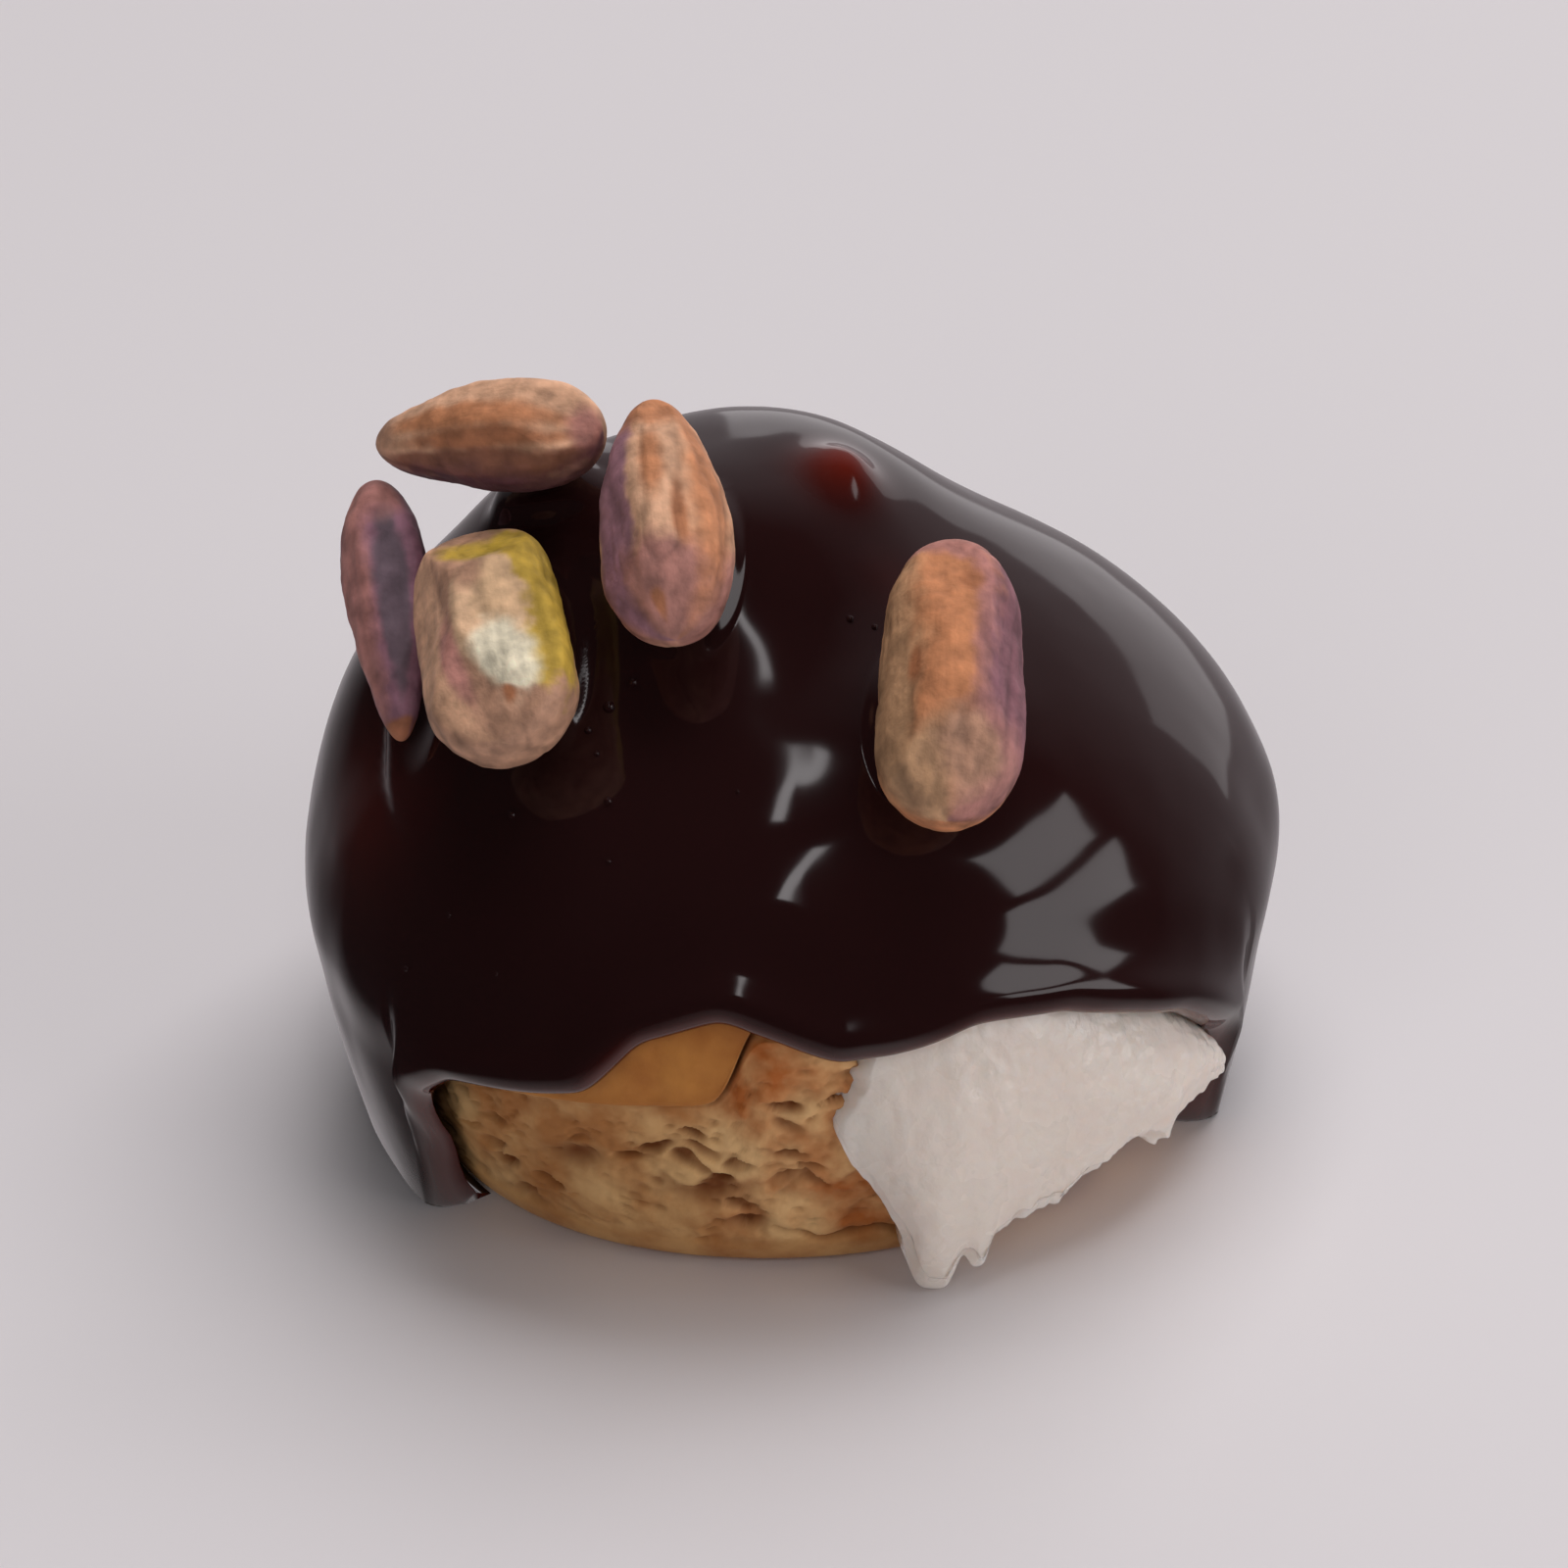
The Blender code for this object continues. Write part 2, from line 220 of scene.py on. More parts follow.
# %% Shared formulas
def around(corners, azimuth, softness=2.0):
    """Value at an azimuth on the closed line through (azimuth, value) corners, which softness rounds off."""
    step = 0.25
    fine = np.arange(-180, 180, step)
    offset = np.minimum(fine + 180, 180 - fine)
    places, values = np.array(corners, float).T
    line = np.interp(fine, places, values, period=360)
    weight = bump(offset, softness)
    soft = np.fft.ifft(np.fft.fft(line) * np.fft.fft(weight / weight.sum())).real
    return np.interp(azimuth, fine, soft, period=360)


def wrapped(azimuth):
    """The same azimuth, from -180 to 180."""
    return (azimuth + 180) % 360 - 180


def columns(count, crowding=0.5):
    """Azimuths of the points of a ring, closer together at the open side, where the layers show."""
    turn = np.arange(count) / count * 2 * np.pi
    return wrapped(OPEN_SIDE + np.degrees(turn - crowding * np.sin(turn)))


def in_plan(azimuth, radius, height):
    """Points at a radius measured along +X, on a plan that is a little shallower in Y."""
    angle = np.radians(azimuth)
    flat = CRUST_Y / CRUST_X
    parts = np.broadcast_arrays(radius * np.cos(angle), flat * radius * np.sin(angle), height)
    return np.stack(parts, -1)


def rings_at(azimuth, rows):
    """One ring of points for each (radius, height) of a list."""
    return [in_plan(azimuth, *row) for row in rows]


def lobes(azimuth, radius):
    """Height of the broad lobes on top: each a flat bell round its own centre."""
    x, y = np.moveaxis(in_plan(azimuth, radius, 0 * radius), -1, 0)[:2]
    height = 0 * x
    for rise, centre, reach in LOBES:
        away = np.hypot(x - centre[0], y - centre[1]) / reach
        height = height + rise * np.exp(-(away**4))
    return height


TOP_LOBE = lobes(np.zeros(1), np.zeros(1))[0]


def lumps(azimuth, tilt):
    """Uneven swelling of the bun: three slow waves round it, which fade out at the pole."""
    angle, slope = np.radians(azimuth), np.radians(tilt)
    wave = 0.30 * np.sin(2 * angle + 0.6) + 0.25 * np.sin(3 * angle + 2.1 + slope)
    return (wave + 0.22 * np.sin(5 * angle + 0.9 - 2 * slope)) * np.cos(slope) ** 2


def crust(azimuth, tilt, offset=0.0):
    """Radius and height of the bun's skin at a tilt above its widest line: cosine out and sine up."""
    slope = np.radians(tilt)
    out = np.cos(slope) * (CRUST_X + offset + lumps(azimuth, tilt))
    up = np.sin(slope) * (CRUST_RISE + np.where(slope > 0, offset, 0))
    return out, WAIST + up + lobes(azimuth, out) * smooth(tilt / LOBE_FADE)


def crust_tilt(height):
    """The tilt at which the bun's skin has a height, lobes left out: the arc sine of its share."""
    return np.degrees(np.arcsin(np.clip((height - WAIST) / CRUST_RISE, -0.98, 0.98)))


# %% [markdown]
# ## The cut and the base
# The knife went through level with the widest line, at a slight slant, and the crumb tore upwards where the
# cream now swells out. Below the cut stands the base: a cup of crumb with a thin crust round its foot.

# %% Sizes of the cut and the base
# Lines round the puff are (azimuth, value) corners: the lift of the cut, and the drop of the rim below it
CUT_HEIGHT, CUT_TILT, CUT_TILT_AZIMUTH = 12.2, 2.6, -40
CUT_EDGE_LIFT = [(-99.5, 0), (-95.5, 5.2), (-88, 4.8), (-80, 3.6), (-38, 3.0), (-20, 0), (80, 0)]
CUT_CORE, CUT_RUN = 12, 11
FOOT_FLAT, FOOT_RADIUS = 18.5, 20.5
RIM_RADIUS, RIM_WIDTH = 24.2, 3.4
BOWL_HEIGHT = 13.5
CAVITY_RADIUS, CAVITY_FLOOR = 18.4, 6.0
RIM_DROP = [(-155, 0.4), (-97, 0.35), (-90, 0.5), (-82, 1.3), (-77, 7.0), (-60, 8.5), (-34, 7.5), (-16, 0.4)]


def cut(azimuth, radius):
    """Height of the cut: a tilted plane, lifted at its torn edge in a soft step from its core outwards."""
    slope = np.cos(np.radians(azimuth - CUT_TILT_AZIMUTH)) * radius / RIM_RADIUS
    lift = around(CUT_EDGE_LIFT, azimuth) * smooth((radius - CUT_CORE) / CUT_RUN)
    return CUT_HEIGHT + CUT_TILT * slope + lift


def rim_height(azimuth):
    """Height of the base's rim: the cut less the drop."""
    return cut(azimuth, RIM_RADIUS) - around(RIM_DROP, azimuth)


def bowl(azimuth, height):
    """Outer radius of the base: a quarter of an ellipse from the foot up to the rim."""
    rest = np.clip(1 - height / BOWL_HEIGHT, 0, 1)
    return FOOT_RADIUS + (RIM_RADIUS - FOOT_RADIUS) * np.sqrt(1 - rest**2) + 0.5 * lumps(azimuth, 0)


# %% [markdown]
# ## Chocolate sauce
# Warm sauce runs down the dome, thins out on top and gathers in a rounded lip where it stops. A simple shell
# of one thickness would look like plastic. Here the coat's thickness is a formula of how far a point lies
# from the sauce's edge: nothing at the edge, then a quarter circle up to the full coat, with a slightly
# thicker bead along it. Where the edge is below the floor line the sauce hangs as a curtain onto the plate.

# %% Sizes of the sauce
SAUCE_SIDE, SAUCE_TOP = 1.6, 1.1
SLACK = 0.6
CURTAIN_TUCK, CURTAIN_HEIGHT = 2.3, 8.0
LIP_RADIUS = 1.6
BELOW_FLOOR = -7.0
# Degrees of the edge line that are searched on each side of a point, and their step
EDGE_REACH, EDGE_STEP = 14, 0.5
# Below LOOSE_TILT the coat stands off the bun, in soft steps over these spans of tilt
LOOSE_TILT, SLACK_SPAN, HANGING_SPAN = 15, 20, 30
SAUCE_EDGE = [
    (-148, 0), (-140, 10.5), (-133, 13.2), (-121, 14.0), (-115, 14.6), (-109, 18.0), (-99, 19.2),
    (-92, 18.2), (-85, 16.7), (-79, 16.8), (-68, 17.7), (-56, 17.0), (-38, 13.0), (-24, 8.0), (-17, 0),
    (44, 0), (58, 9.5), (72, 7.5), (80, 0), (88, 0), (98, 10.5), (112, 8.0), (122, 1.5), (128, 1.5),
    (138, 8.0), (150, 0),
]


def sauce_edge(azimuth):
    """Height of the lower edge; it runs on below the floor where the sauce reaches it."""
    sunk = [(place, height if height > 0 else BELOW_FLOOR) for place, height in SAUCE_EDGE]
    waver = 0.18 * hills(np.stack([wrapped(azimuth) / 9, 0 * azimuth, 0 * azimuth], -1), 1.0, 3)
    return around(sunk, azimuth, 1.6) + waver


def from_edge(azimuth, height):
    """Distance from the edge line on the unrolled side: the least over short straight pieces of the line."""
    nearest = np.full(np.broadcast(azimuth, height).shape, 99.0)
    shifts = np.arange(-EDGE_REACH, EDGE_REACH + EDGE_STEP / 2, EDGE_STEP)
    drops = [sauce_edge(azimuth + shift) - height for shift in shifts]
    step = np.radians(EDGE_STEP) * RIM_RADIUS
    for shift, drop, next_drop in zip(shifts, drops[:-1], drops[1:]):
        sideways, fall = np.radians(shift) * RIM_RADIUS, next_drop - drop
        share = np.clip(-(sideways * step + drop * fall) / (step**2 + fall**2), 0, 1)
        nearest = np.minimum(nearest, np.hypot(sideways + share * step, drop + share * fall))
    return nearest


def sauce_coat(azimuth, tilt, edge):
    """Inner points, the full step outwards and the height step of the coat at a tilt."""
    radius, height = crust(azimuth, tilt, GAP)
    radius = np.maximum(radius, np.where(tilt < 0, bowl(azimuth, height) + GAP, 0))
    radius = radius + SLACK * smooth((LOOSE_TILT - tilt) / SLACK_SPAN)
    level = np.radians(np.maximum(tilt, 0))
    thick = mix(SAUCE_SIDE, SAUCE_TOP, np.sin(level) ** 2)
    curtain = CRUST_X + GAP + SAUCE_SIDE - CURTAIN_TUCK * np.clip(1 - height / WAIST, 0, 1) ** 1.5
    hanging = smooth(1 - np.maximum(edge, 0) / CURTAIN_HEIGHT) * smooth((LOOSE_TILT - tilt) / HANGING_SPAN)
    outer = mix(radius + thick * np.cos(level), curtain, hanging)
    return radius, height, outer - radius, thick * np.sin(level)


# %% [markdown]
# ### Things that disturb the sauce
# A last drop left a soft nub near the top, and long runs follow the fall of the side. Round each kernel the
# sauce creeps up by its surface tension. The kernels are measured first, from the frame: the middle of each
# one, its long axis and the direction that looks away from the puff.

# %% Where the kernels lie
# Roughly which way the tip of each kernel points
KERNEL_AIM = {
    "pistachio_front": (0.1, 1, 0), "pistachio_crown": (0, 1, 0), "pistachio_peeled": (-0.1, 1, 0),
    "pistachio_shoulder": (-1, 0.4, 0), "pistachio_flank": (-0.3, -1, 0),
}
PUFF_MIDDLE = np.array([0, 0, 14.0])


def kernel_frame(node):
    """Middle, axes and half sizes of a kernel in the frame: its long axis is the one that varies most."""
    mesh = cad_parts[node].data
    points = np.empty(3 * len(mesh.vertices), np.float32)
    mesh.vertices.foreach_get("co", points)
    points = np.unique(points.reshape(-1, 3).astype(float).round(7), axis=0) / MM
    middle = points.mean(0)
    aim = np.linalg.svd(points - middle, full_matrices=False)[2][0]
    aim *= np.sign(aim @ np.array(KERNEL_AIM[node]))
    back = middle - PUFF_MIDDLE
    back -= aim * (back @ aim)
    back /= np.linalg.norm(back)
    axes = np.stack([aim, np.cross(back, aim), back])
    local = (points - middle) @ axes.T
    middle = middle + ((local.max(0) + local.min(0)) / 2) @ axes
    return middle, axes, (local.max(0) - local.min(0)) / 2


KERNELS = {node: kernel_frame(node) for node in KERNEL_AIM}
for node, (middle, axes, half) in KERNELS.items():
    print(node, "middle", middle.round(1), "length, width, thickness", (2 * half).round(1))

# %% Nub, runs and the creep round the kernels
# Places where the sauce lets light through are a centre, a reach and a strength
NUB_PLACE, NUB_REACH, NUB_RISE = (4.2, 1.2), 2.0, 1.15
NUB_ABOVE = 30
THIN_PLACES = [((*NUB_PLACE, 41.0), 2.4, 0.9), ((7.6, -5.6, 37.6), 1.8, 0.35), ((-24, -7, 24), 5.0, 0.25)]
THIN_LIP, THIN_LIP_REACH = 0.45, 0.6
RUN_STRETCH = np.array([1, 1, 0.42])
SET_BACK = 0.38
CREEP, CREEP_START = 1.6, 1.25


def kernel_distance(points, node):
    """Distance to a kernel, taken as an ellipsoid: its radius in half sizes less one, times a half width."""
    middle, axes, half = KERNELS[node]
    local = (points - middle) @ axes.T / half
    return (np.linalg.norm(local, axis=-1) - 1) * half[1:].mean()


def sauce_relief(points):
    """How far the sauce stands out from its smooth coat: runs stretched downwards, the nub, and the creep,
    which closes the gap to a kernel close by. The whole is set back, to stay inside the frame's size."""
    stretched = points * RUN_STRETCH
    runs = 0.34 * hills(stretched, 11.0, 4) + 0.10 * hills(stretched, 4.6, 5)
    relief = runs + 0.02 * hills(points, 2.1, 6) - SET_BACK
    away = np.hypot(points[..., 0] - NUB_PLACE[0], points[..., 1] - NUB_PLACE[1])
    relief = relief + NUB_RISE * bump(away, NUB_REACH) * (points[..., 2] > NUB_ABOVE)
    for node in KERNELS:
        gap = np.maximum(kernel_distance(points, node), 0)
        relief = relief + gap * smooth(CREEP_START - gap / CREEP)
    return relief


def edge_bead(away):
    """A bead where the sauce gathers and a faint hollow behind it, by the distance from the edge."""
    return 0.38 * bump(away - 1.5, 1.0) - 0.16 * bump(away - 4.2, 1.6)


# %% The sauce as a body
# The rings run from the top down to the edge, closer together in the last degrees, where the lip turns. The
# side that lies on the bun needs only one ring in eight.
SAUCE_COLUMNS, DOME_ROWS, LIP_ROWS = 560, 112, 34
FIRST_TILT, LIP_SPAN = 88.5, 9
LEAST_COAT = 0.02
INSIDE_STEP = 8


def sauce_tilts(edge):
    """Even steps down the dome, then sine steps, which shorten towards the edge."""
    last = crust_tilt(np.maximum(edge, 0))
    near = last + LIP_SPAN
    dome = mix(FIRST_TILT, near, np.linspace(0, 1, DOME_ROWS)[:, None])
    lip = mix(near, last, np.sin(np.linspace(0, np.pi / 2, LIP_ROWS))[1:, None])
    return np.concatenate([dome, lip])


def thinness(points, away):
    """How much light the sauce lets through: along its edge and at the thin places."""
    thin = THIN_LIP * bump(away, THIN_LIP_REACH)
    for place, reach, strength in THIN_PLACES:
        thin = np.maximum(thin, strength * bump(np.linalg.norm(points - np.array(place), axis=-1), reach))
    return thin


def sauce_body():
    """The coat times a quarter circle of the distance from its edge, plus its relief along the normal."""
    azimuth = columns(SAUCE_COLUMNS)
    edge = sauce_edge(azimuth)
    radius, height, out, up = sauce_coat(azimuth, sauce_tilts(edge), edge)
    away = from_edge(azimuth, height)
    rounding = np.clip(away / LIP_RADIUS, 0, 1)
    full = np.maximum(np.sqrt(1 - (1 - rounding) ** 2), LEAST_COAT)
    inner = in_plan(azimuth, radius, height)
    outer = in_plan(azimuth, radius + out * full, height + up * full)
    relief = (sauce_relief(outer) + edge_bead(away) * (edge > 0)) * smooth(away / LIP_RADIUS)
    outer = outer - outward(outer) * relief[..., None]
    outer[..., 2] = np.maximum(outer[..., 2], 0)
    thin = thinness(outer, away)
    rings = np.concatenate([inner[::INSIDE_STEP], inner[-1:], outer[::-1]])
    painted = np.concatenate([0 * thin[::INSIDE_STEP], thin[-1:], thin[::-1]])
    top = SHOULDER_HEIGHT + TOP_LOBE
    low, high = (0, 0, top - SAUCE_TOP), (0, 0, float(outer[0, :, 2].mean()))
    return closed_body("sauce", rings, low, high, {"thin": painted})


sauce = sauce_body()
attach(sauce, "root")
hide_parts("chocolate_sauce")


# %% [markdown]
# ### Bubbles
# Pouring leaves air bubbles beside the kernels: little balls set on points of the sauce's own mesh. All of
# them are one mesh: one ball's points are scaled and moved for each, and its faces are numbered on.

# %% Balls on the sauce
def balls(name, centres, radii, rows=12):
    """Every ball is one grid of sines and cosines times its radius, plus its centre."""
    polar = np.linspace(0, np.pi, rows + 1)[1:-1, None]
    turn = np.linspace(0, 2 * np.pi, 2 * rows, endpoint=False)[None, :]
    grid = np.broadcast_arrays(np.sin(polar) * np.cos(turn), np.sin(polar) * np.sin(turn), np.cos(polar))
    ball = np.concatenate([np.stack(grid, -1).reshape(-1, 3), [[0, 0, 1], [0, 0, -1]]])
    index = np.arange(len(ball) - 2).reshape(rows - 1, 2 * rows)
    after = np.roll(index, -1, axis=1)
    quads = np.stack([index[:-1], index[1:], after[1:], after[:-1]], -1).reshape(-1, 4)
    top = np.stack([index[0], after[0], 0 * index[0] + len(ball) - 2], -1)
    bottom = np.stack([after[-1], index[-1], 0 * index[-1] + len(ball) - 1], -1)
    points = (np.array(centres)[:, None] + ball * np.array(radii)[:, None, None]).reshape(-1, 3)
    faces = []
    for start in len(ball) * np.arange(len(centres)):
        faces += (quads + start).tolist() + (top + start).tolist() + (bottom + start).tolist()
    print(f"{name}: {len(centres)} balls, {len(points)} points")
    return mesh_body(name, points, faces)


def on_sauce(azimuth, tilt):
    """The point of the finished sauce that is nearest to a place on the smooth bun."""
    place = in_plan(azimuth, *crust(np.array([azimuth]), np.array([tilt]), GAP + SAUCE_SIDE))
    points = np.empty(3 * len(sauce.data.vertices), np.float32)
    sauce.data.vertices.foreach_get("co", points)
    points = points.reshape(-1, 3) / MM
    return points[np.argmin(np.linalg.norm(points - place, axis=1))]


# Azimuth and tilt of each bubble's place, and its radius
BUBBLES = [
    (-122, 66, 0.30), (-126, 60, 0.26), (-128, 56, 0.34), (-129, 52, 0.22), (-125, 50, 0.18),
    (-133, 38, 0.24), (-119, 44, 0.26), (-63, 70, 0.22), (-57, 68, 0.18), (-136, 22, 0.16),
    (-127, 17, 0.14), (-141, 12, 0.18), (-116, 36, 0.16), (-98, 47, 0.12),
]
bubble_places = [on_sauce(azimuth, tilt) for azimuth, tilt, radius in BUBBLES]
bubbles = balls("sauce_bubbles", bubble_places, [radius for azimuth, tilt, radius in BUBBLES])
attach(bubbles, "root")

# %% [markdown]
# ## The crumb of the base
# Baked choux is mostly air. Torn sideways it shows flat oval pores, darker inside than between, and the thin
# crust round the foot stays smooth and pale. Pores are a matter of shape as well as colour, so they are
# pressed into the mesh, and their depth is painted on the points for the material, which darkens them with
# painted shade.

# %% Pores and tears
TORN_ZONE = [(-106, 0), (-97, 1), (-64, 1), (-52, 0), (60, 0)]
LARGE_PORE, SMALL_PORE = 2.7, 1.2
PORE_FLATNESS = np.array([1, 1, 2.3])


def crumb(points, torn):
    """Relief of the crumb, outwards, and how much painted shade each point gets, from 0 to 1: most deep in a
    pore, and more where the relief dips. Pores are round cells, large ones only where a cell's own number is
    high, in a space that is bent and flattened first."""
    bend = np.stack([hills(points, 2.4, 14 + axis) for axis in range(3)], -1)
    flat = (points + bend) * PORE_FLATNESS
    hollow, number = cells(flat, LARGE_PORE, 11)
    large = smooth((0.54 - hollow) / 0.30) * smooth((number - 0.58) / 0.15)
    hollow, number = cells(flat, SMALL_PORE, 21)
    small = smooth((0.50 - hollow) / 0.36) * smooth((number - 0.30) / 0.3)
    bulk = rough(points * np.array([1, 1, 1.3]), 4.2, 31)
    fine = rough(points, 0.8, 41)
    relief = (0.30 + 0.25 * torn) * bulk + (0.17 + 0.10 * torn) * fine - 0.60 * large - 0.20 * small
    return relief, np.clip(0.8 * large + 0.35 * small - 0.45 * fine - 0.35 * bulk, 0, 1)


# %% Cracks along the foot
# A crack is its azimuth, its height, its length and its width
CRACKS = [(-83, 2.6, 9.0, 0.22), (-103, 6.2, 3.6, 0.7), (-98, 3.6, 2.6, 0.45), (-122, 7.5, 3.4, 0.8)]
CRACK_DEPTH = 0.7


def cracks(azimuth, wall, height):
    """How deep in a crack each point lies: a bell across a crooked line, times a bell along it."""
    deepest = 0
    for place, at, length, width in CRACKS:
        along = np.radians(wrapped(azimuth - place)) * RIM_RADIUS
        line = at + 0.35 * np.sin(along * 0.9) + 0.45 * hills(wall, 1.5, 9) - 0.12 * along
        deepest = np.maximum(deepest, bump(height - line, width) * bump(along, length / 2))
    return deepest


# %% The wall of the base
BASE_COLUMNS, WALL_ROWS = 540, 92
CRUST_BAND = 2.8
PULLED_OUT = 1.2


def pulled_up(azimuth, height):
    """How far the crumb was drawn outwards beside the golden sliver, from -101 degrees to the cream."""
    beside = smooth((azimuth + 101) / 8) * smooth((-79 - azimuth) / 5)
    return PULLED_OUT * beside * smooth((height - 4) / 9)


def base_wall(azimuth, rim, share):
    """The outside of the base, from foot to rim: crumb above, smooth crust below, cracks in both. Its numbers
    are for the material: painted shade in pores and cracks, the crust, and the torn crumb."""
    height = mix(0.5, rim - 0.5, share)
    torn = smooth(around(TORN_ZONE, azimuth)) * smooth((height - 1.8) / 2.5)
    wall = in_plan(azimuth, bowl(azimuth, height) + pulled_up(azimuth, height), height)
    relief, pit_shade = crumb(wall, torn)
    skin = smooth((CRUST_BAND + 0.7 * hills(wall * np.array([1, 1, 0]), 4.0, 8) - height) / 0.8)
    crack = cracks(azimuth, wall, height)
    relief = mix(relief - 0.10, 0.06 * rough(wall, 1.5, 51), skin) - CRACK_DEPTH * crack
    ends = smooth(share / 0.06) * smooth((1 - share) / 0.04)
    wall = wall + outward(wall) * (relief * ends)[..., None]
    # Painted shade for the material: deepest in pores and cracks, faint on the crust
    return wall, {"pit_shade": np.clip(mix(pit_shade, 0.08, skin) + crack, 0, 1), "skin": 0.3 * skin, "torn": torn}


# %% The base as a body
# The foot's rings, by radius and height: flat on the floor, then just off it
FOOT_ROWS = ((0.5 * FOOT_FLAT, 0), (FOOT_FLAT, 0), (FOOT_FLAT + 1.4, 0.12))


def base_body():
    """Rings across the foot, up the wall, over the rim and down into the cavity for the cream."""
    azimuth = columns(BASE_COLUMNS)
    level = 0 * azimuth
    ragged = rough(np.stack([azimuth / 2.3, level, level], -1), 1.6, 55)
    rim = rim_height(azimuth) - 0.12 * smooth(around(TORN_ZONE, azimuth)) * (1 + ragged)
    wall, painted = base_wall(azimuth, rim, np.linspace(0, 1, WALL_ROWS)[:, None])
    foot = [(radius + level, rise + level) for radius, rise in FOOT_ROWS]
    inside = [(bowl(azimuth, rim) - inset, rim - drop) for inset, drop in ((0.35, 0.15), (0.9, 0))]
    for inset in (2.2, RIM_WIDTH):
        radius = bowl(azimuth, rim) - inset
        inside.append((radius, np.minimum(rim, cut(azimuth, radius) - 0.4)))
    inside += [(share * CAVITY_RADIUS + level, CAVITY_FLOOR + level) for share in (1.0, 0.5)]
    rings = np.concatenate([rings_at(azimuth, foot), wall, rings_at(azimuth, inside)])
    before, after = len(foot), len(inside)
    # Painted shade: none on the foot, a little in the cavity
    spread = {
        "pit_shade": padded(painted["pit_shade"], before, 0, after, 0.3),
        "skin": padded(painted["skin"], before, 1, after),
        "torn": padded(painted["torn"], before, 0, after),
    }
    return closed_body("bun_base", rings, (0, 0, 0), (0, 0, CAVITY_FLOOR), spread)


base = base_body()
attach(base, "root")
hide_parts("choux_base")

# %% [markdown]
# ## The cap
# Above the cut the bun keeps its golden crust. It shows only in a narrow strip under the sauce. Beside that
# strip the torn crumb of the base has been pulled up and hides it.

# %% The cap as a body
CAP_COLUMNS, CAP_ROWS = 480, 84
CUT_RADII = (9.5, 14.0, 18.4, 22.0)
CUT_CORNER = ((0.965, 0), (0.99, 0.1))
COVERED_FROM = 21


def cap_body():
    """Rings across the cut, round its corner and up the crust, in fine relief where no sauce covers it."""
    azimuth = columns(CAP_COLUMNS)
    start = crust_tilt(cut(azimuth, RIM_RADIUS))
    share = 1 - (1 - np.linspace(0, 1, CAP_ROWS)[:, None]) ** 0.6
    tilt = mix(start + 0.8, 88.0, share)
    radius, height = crust(azimuth, tilt)
    skin = in_plan(azimuth, radius, height)
    relief = 0.16 * rough(skin, 3.0, 71) + 0.03 * rough(skin, 0.8, 72) - 0.12
    bare = smooth((tilt - start) / 1.2) * (1 - smooth((height - COVERED_FROM) / 3))
    skin = skin + outward(skin) * (relief * bare)[..., None]
    edge_radius = crust(azimuth, start)[0]
    rows = [(radius + 0 * start, cut(azimuth, radius)) for radius in CUT_RADII]
    rows += [(part * edge_radius, cut(azimuth, part * edge_radius) + rise) for part, rise in CUT_CORNER]
    rings = np.concatenate([rings_at(azimuth, rows), skin])
    # Painted shade: a little on the cut, none on the crust
    spread = {
        "pit_shade": padded(0 * height, len(rows), 0.3),
        "skin": padded(1 + 0 * height, len(rows), 0),
        "torn": padded(0 * height, len(rows), 0),
    }
    top = SHOULDER_HEIGHT - SAUCE_TOP - GAP + TOP_LOBE
    return closed_body("bun_cap", rings, (0, 0, CUT_HEIGHT), (0, 0, top), spread)


cap = cap_body()
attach(cap, "root")
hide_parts("choux_cap")

# %% [markdown]
# ## Cream
# The cream lies in the cavity of the base, rises to the cut and, on the open side, swells out over the rim
# and hangs down in a ragged hem. The rings follow that whole path: out across the cavity, over the rim, down
# outside the base, round the hem and up the face to the sauce. Elsewhere the way outside shrinks to nothing.
# Whipped cream breaks into soft curds, so cells and rough noise are added to its face.

# %% Sizes of the cream
# Where the cream spills out, from 0 to 1, and how high its hem hangs, as (azimuth, value) corners
CREAM_SPILL = [(-90, 0), (-85, 1), (-24, 1), (-15, 0), (80, 0)]
CREAM_START = -85.8
CREAM_HEM = [
    (-88, 13.5), (-84, 9.8), (-80, 6.8), (-77.6, 4.4), (-76.6, 1.4), (-75.4, 0.4), (-72.2, 0.3), (-71.0, 1.6),
    (-69.8, 2.6), (-68.8, 1.2), (-67.2, 1.1), (-66, 2.8), (-62, 3.7), (-56, 3.9), (-52, 5.0), (-46, 5.4),
    (-41, 5.0), (-39.6, 3.9), (-38.4, 4.2), (-37, 5.4), (-26, 5.0), (-18, 5.6),
]
CREAM_SWELL, CREAM_NECK = 27.6, 25.4
CREAM_OFF_BASE = GAP + 0.1
FULLEST = 0.42
LOWEST = 0.15
CREAM_COLUMNS, FACE_ROWS = 620, 96


def cream_hem(azimuth):
    """Height of the hem: its line of corners, plus noise that dies out where the hem reaches the floor."""
    line = np.stack([azimuth, 0 * azimuth, 0 * azimuth], -1)
    ragged = 0.40 * rough(line, 2.6, 81) + 0.30 * rough(line, 0.9, 82, 2)
    ragged = ragged * smooth(around(CREAM_HEM, azimuth) / 3)
    return np.maximum(around(CREAM_HEM, azimuth, 0.45) + ragged, LOWEST)


# %% The face of the cream
def fullness(share):
    """How far the face swells, from the hem at 0 to the sauce at 1: half a parabola each side of its peak."""
    above = share > FULLEST
    return 1 - np.where(above, 1, 0.35) * ((share - FULLEST) / np.where(above, 1 - FULLEST, FULLEST)) ** 2


def crumb_border(azimuth, height):
    """How much the face is drawn in behind the crumb at its left end, from 0 to 1, along a ragged border that
    leans to the right higher up."""
    side = np.stack(np.broadcast_arrays(np.radians(azimuth) * RIM_RADIUS, 0.0, height), -1)
    border = CREAM_START + np.maximum(height - 12, 0) + 1.2 * rough(side, 2.2, 83)
    return smooth((border - azimuth) / 3 + 0.5) * smooth((height - 9) / 3)


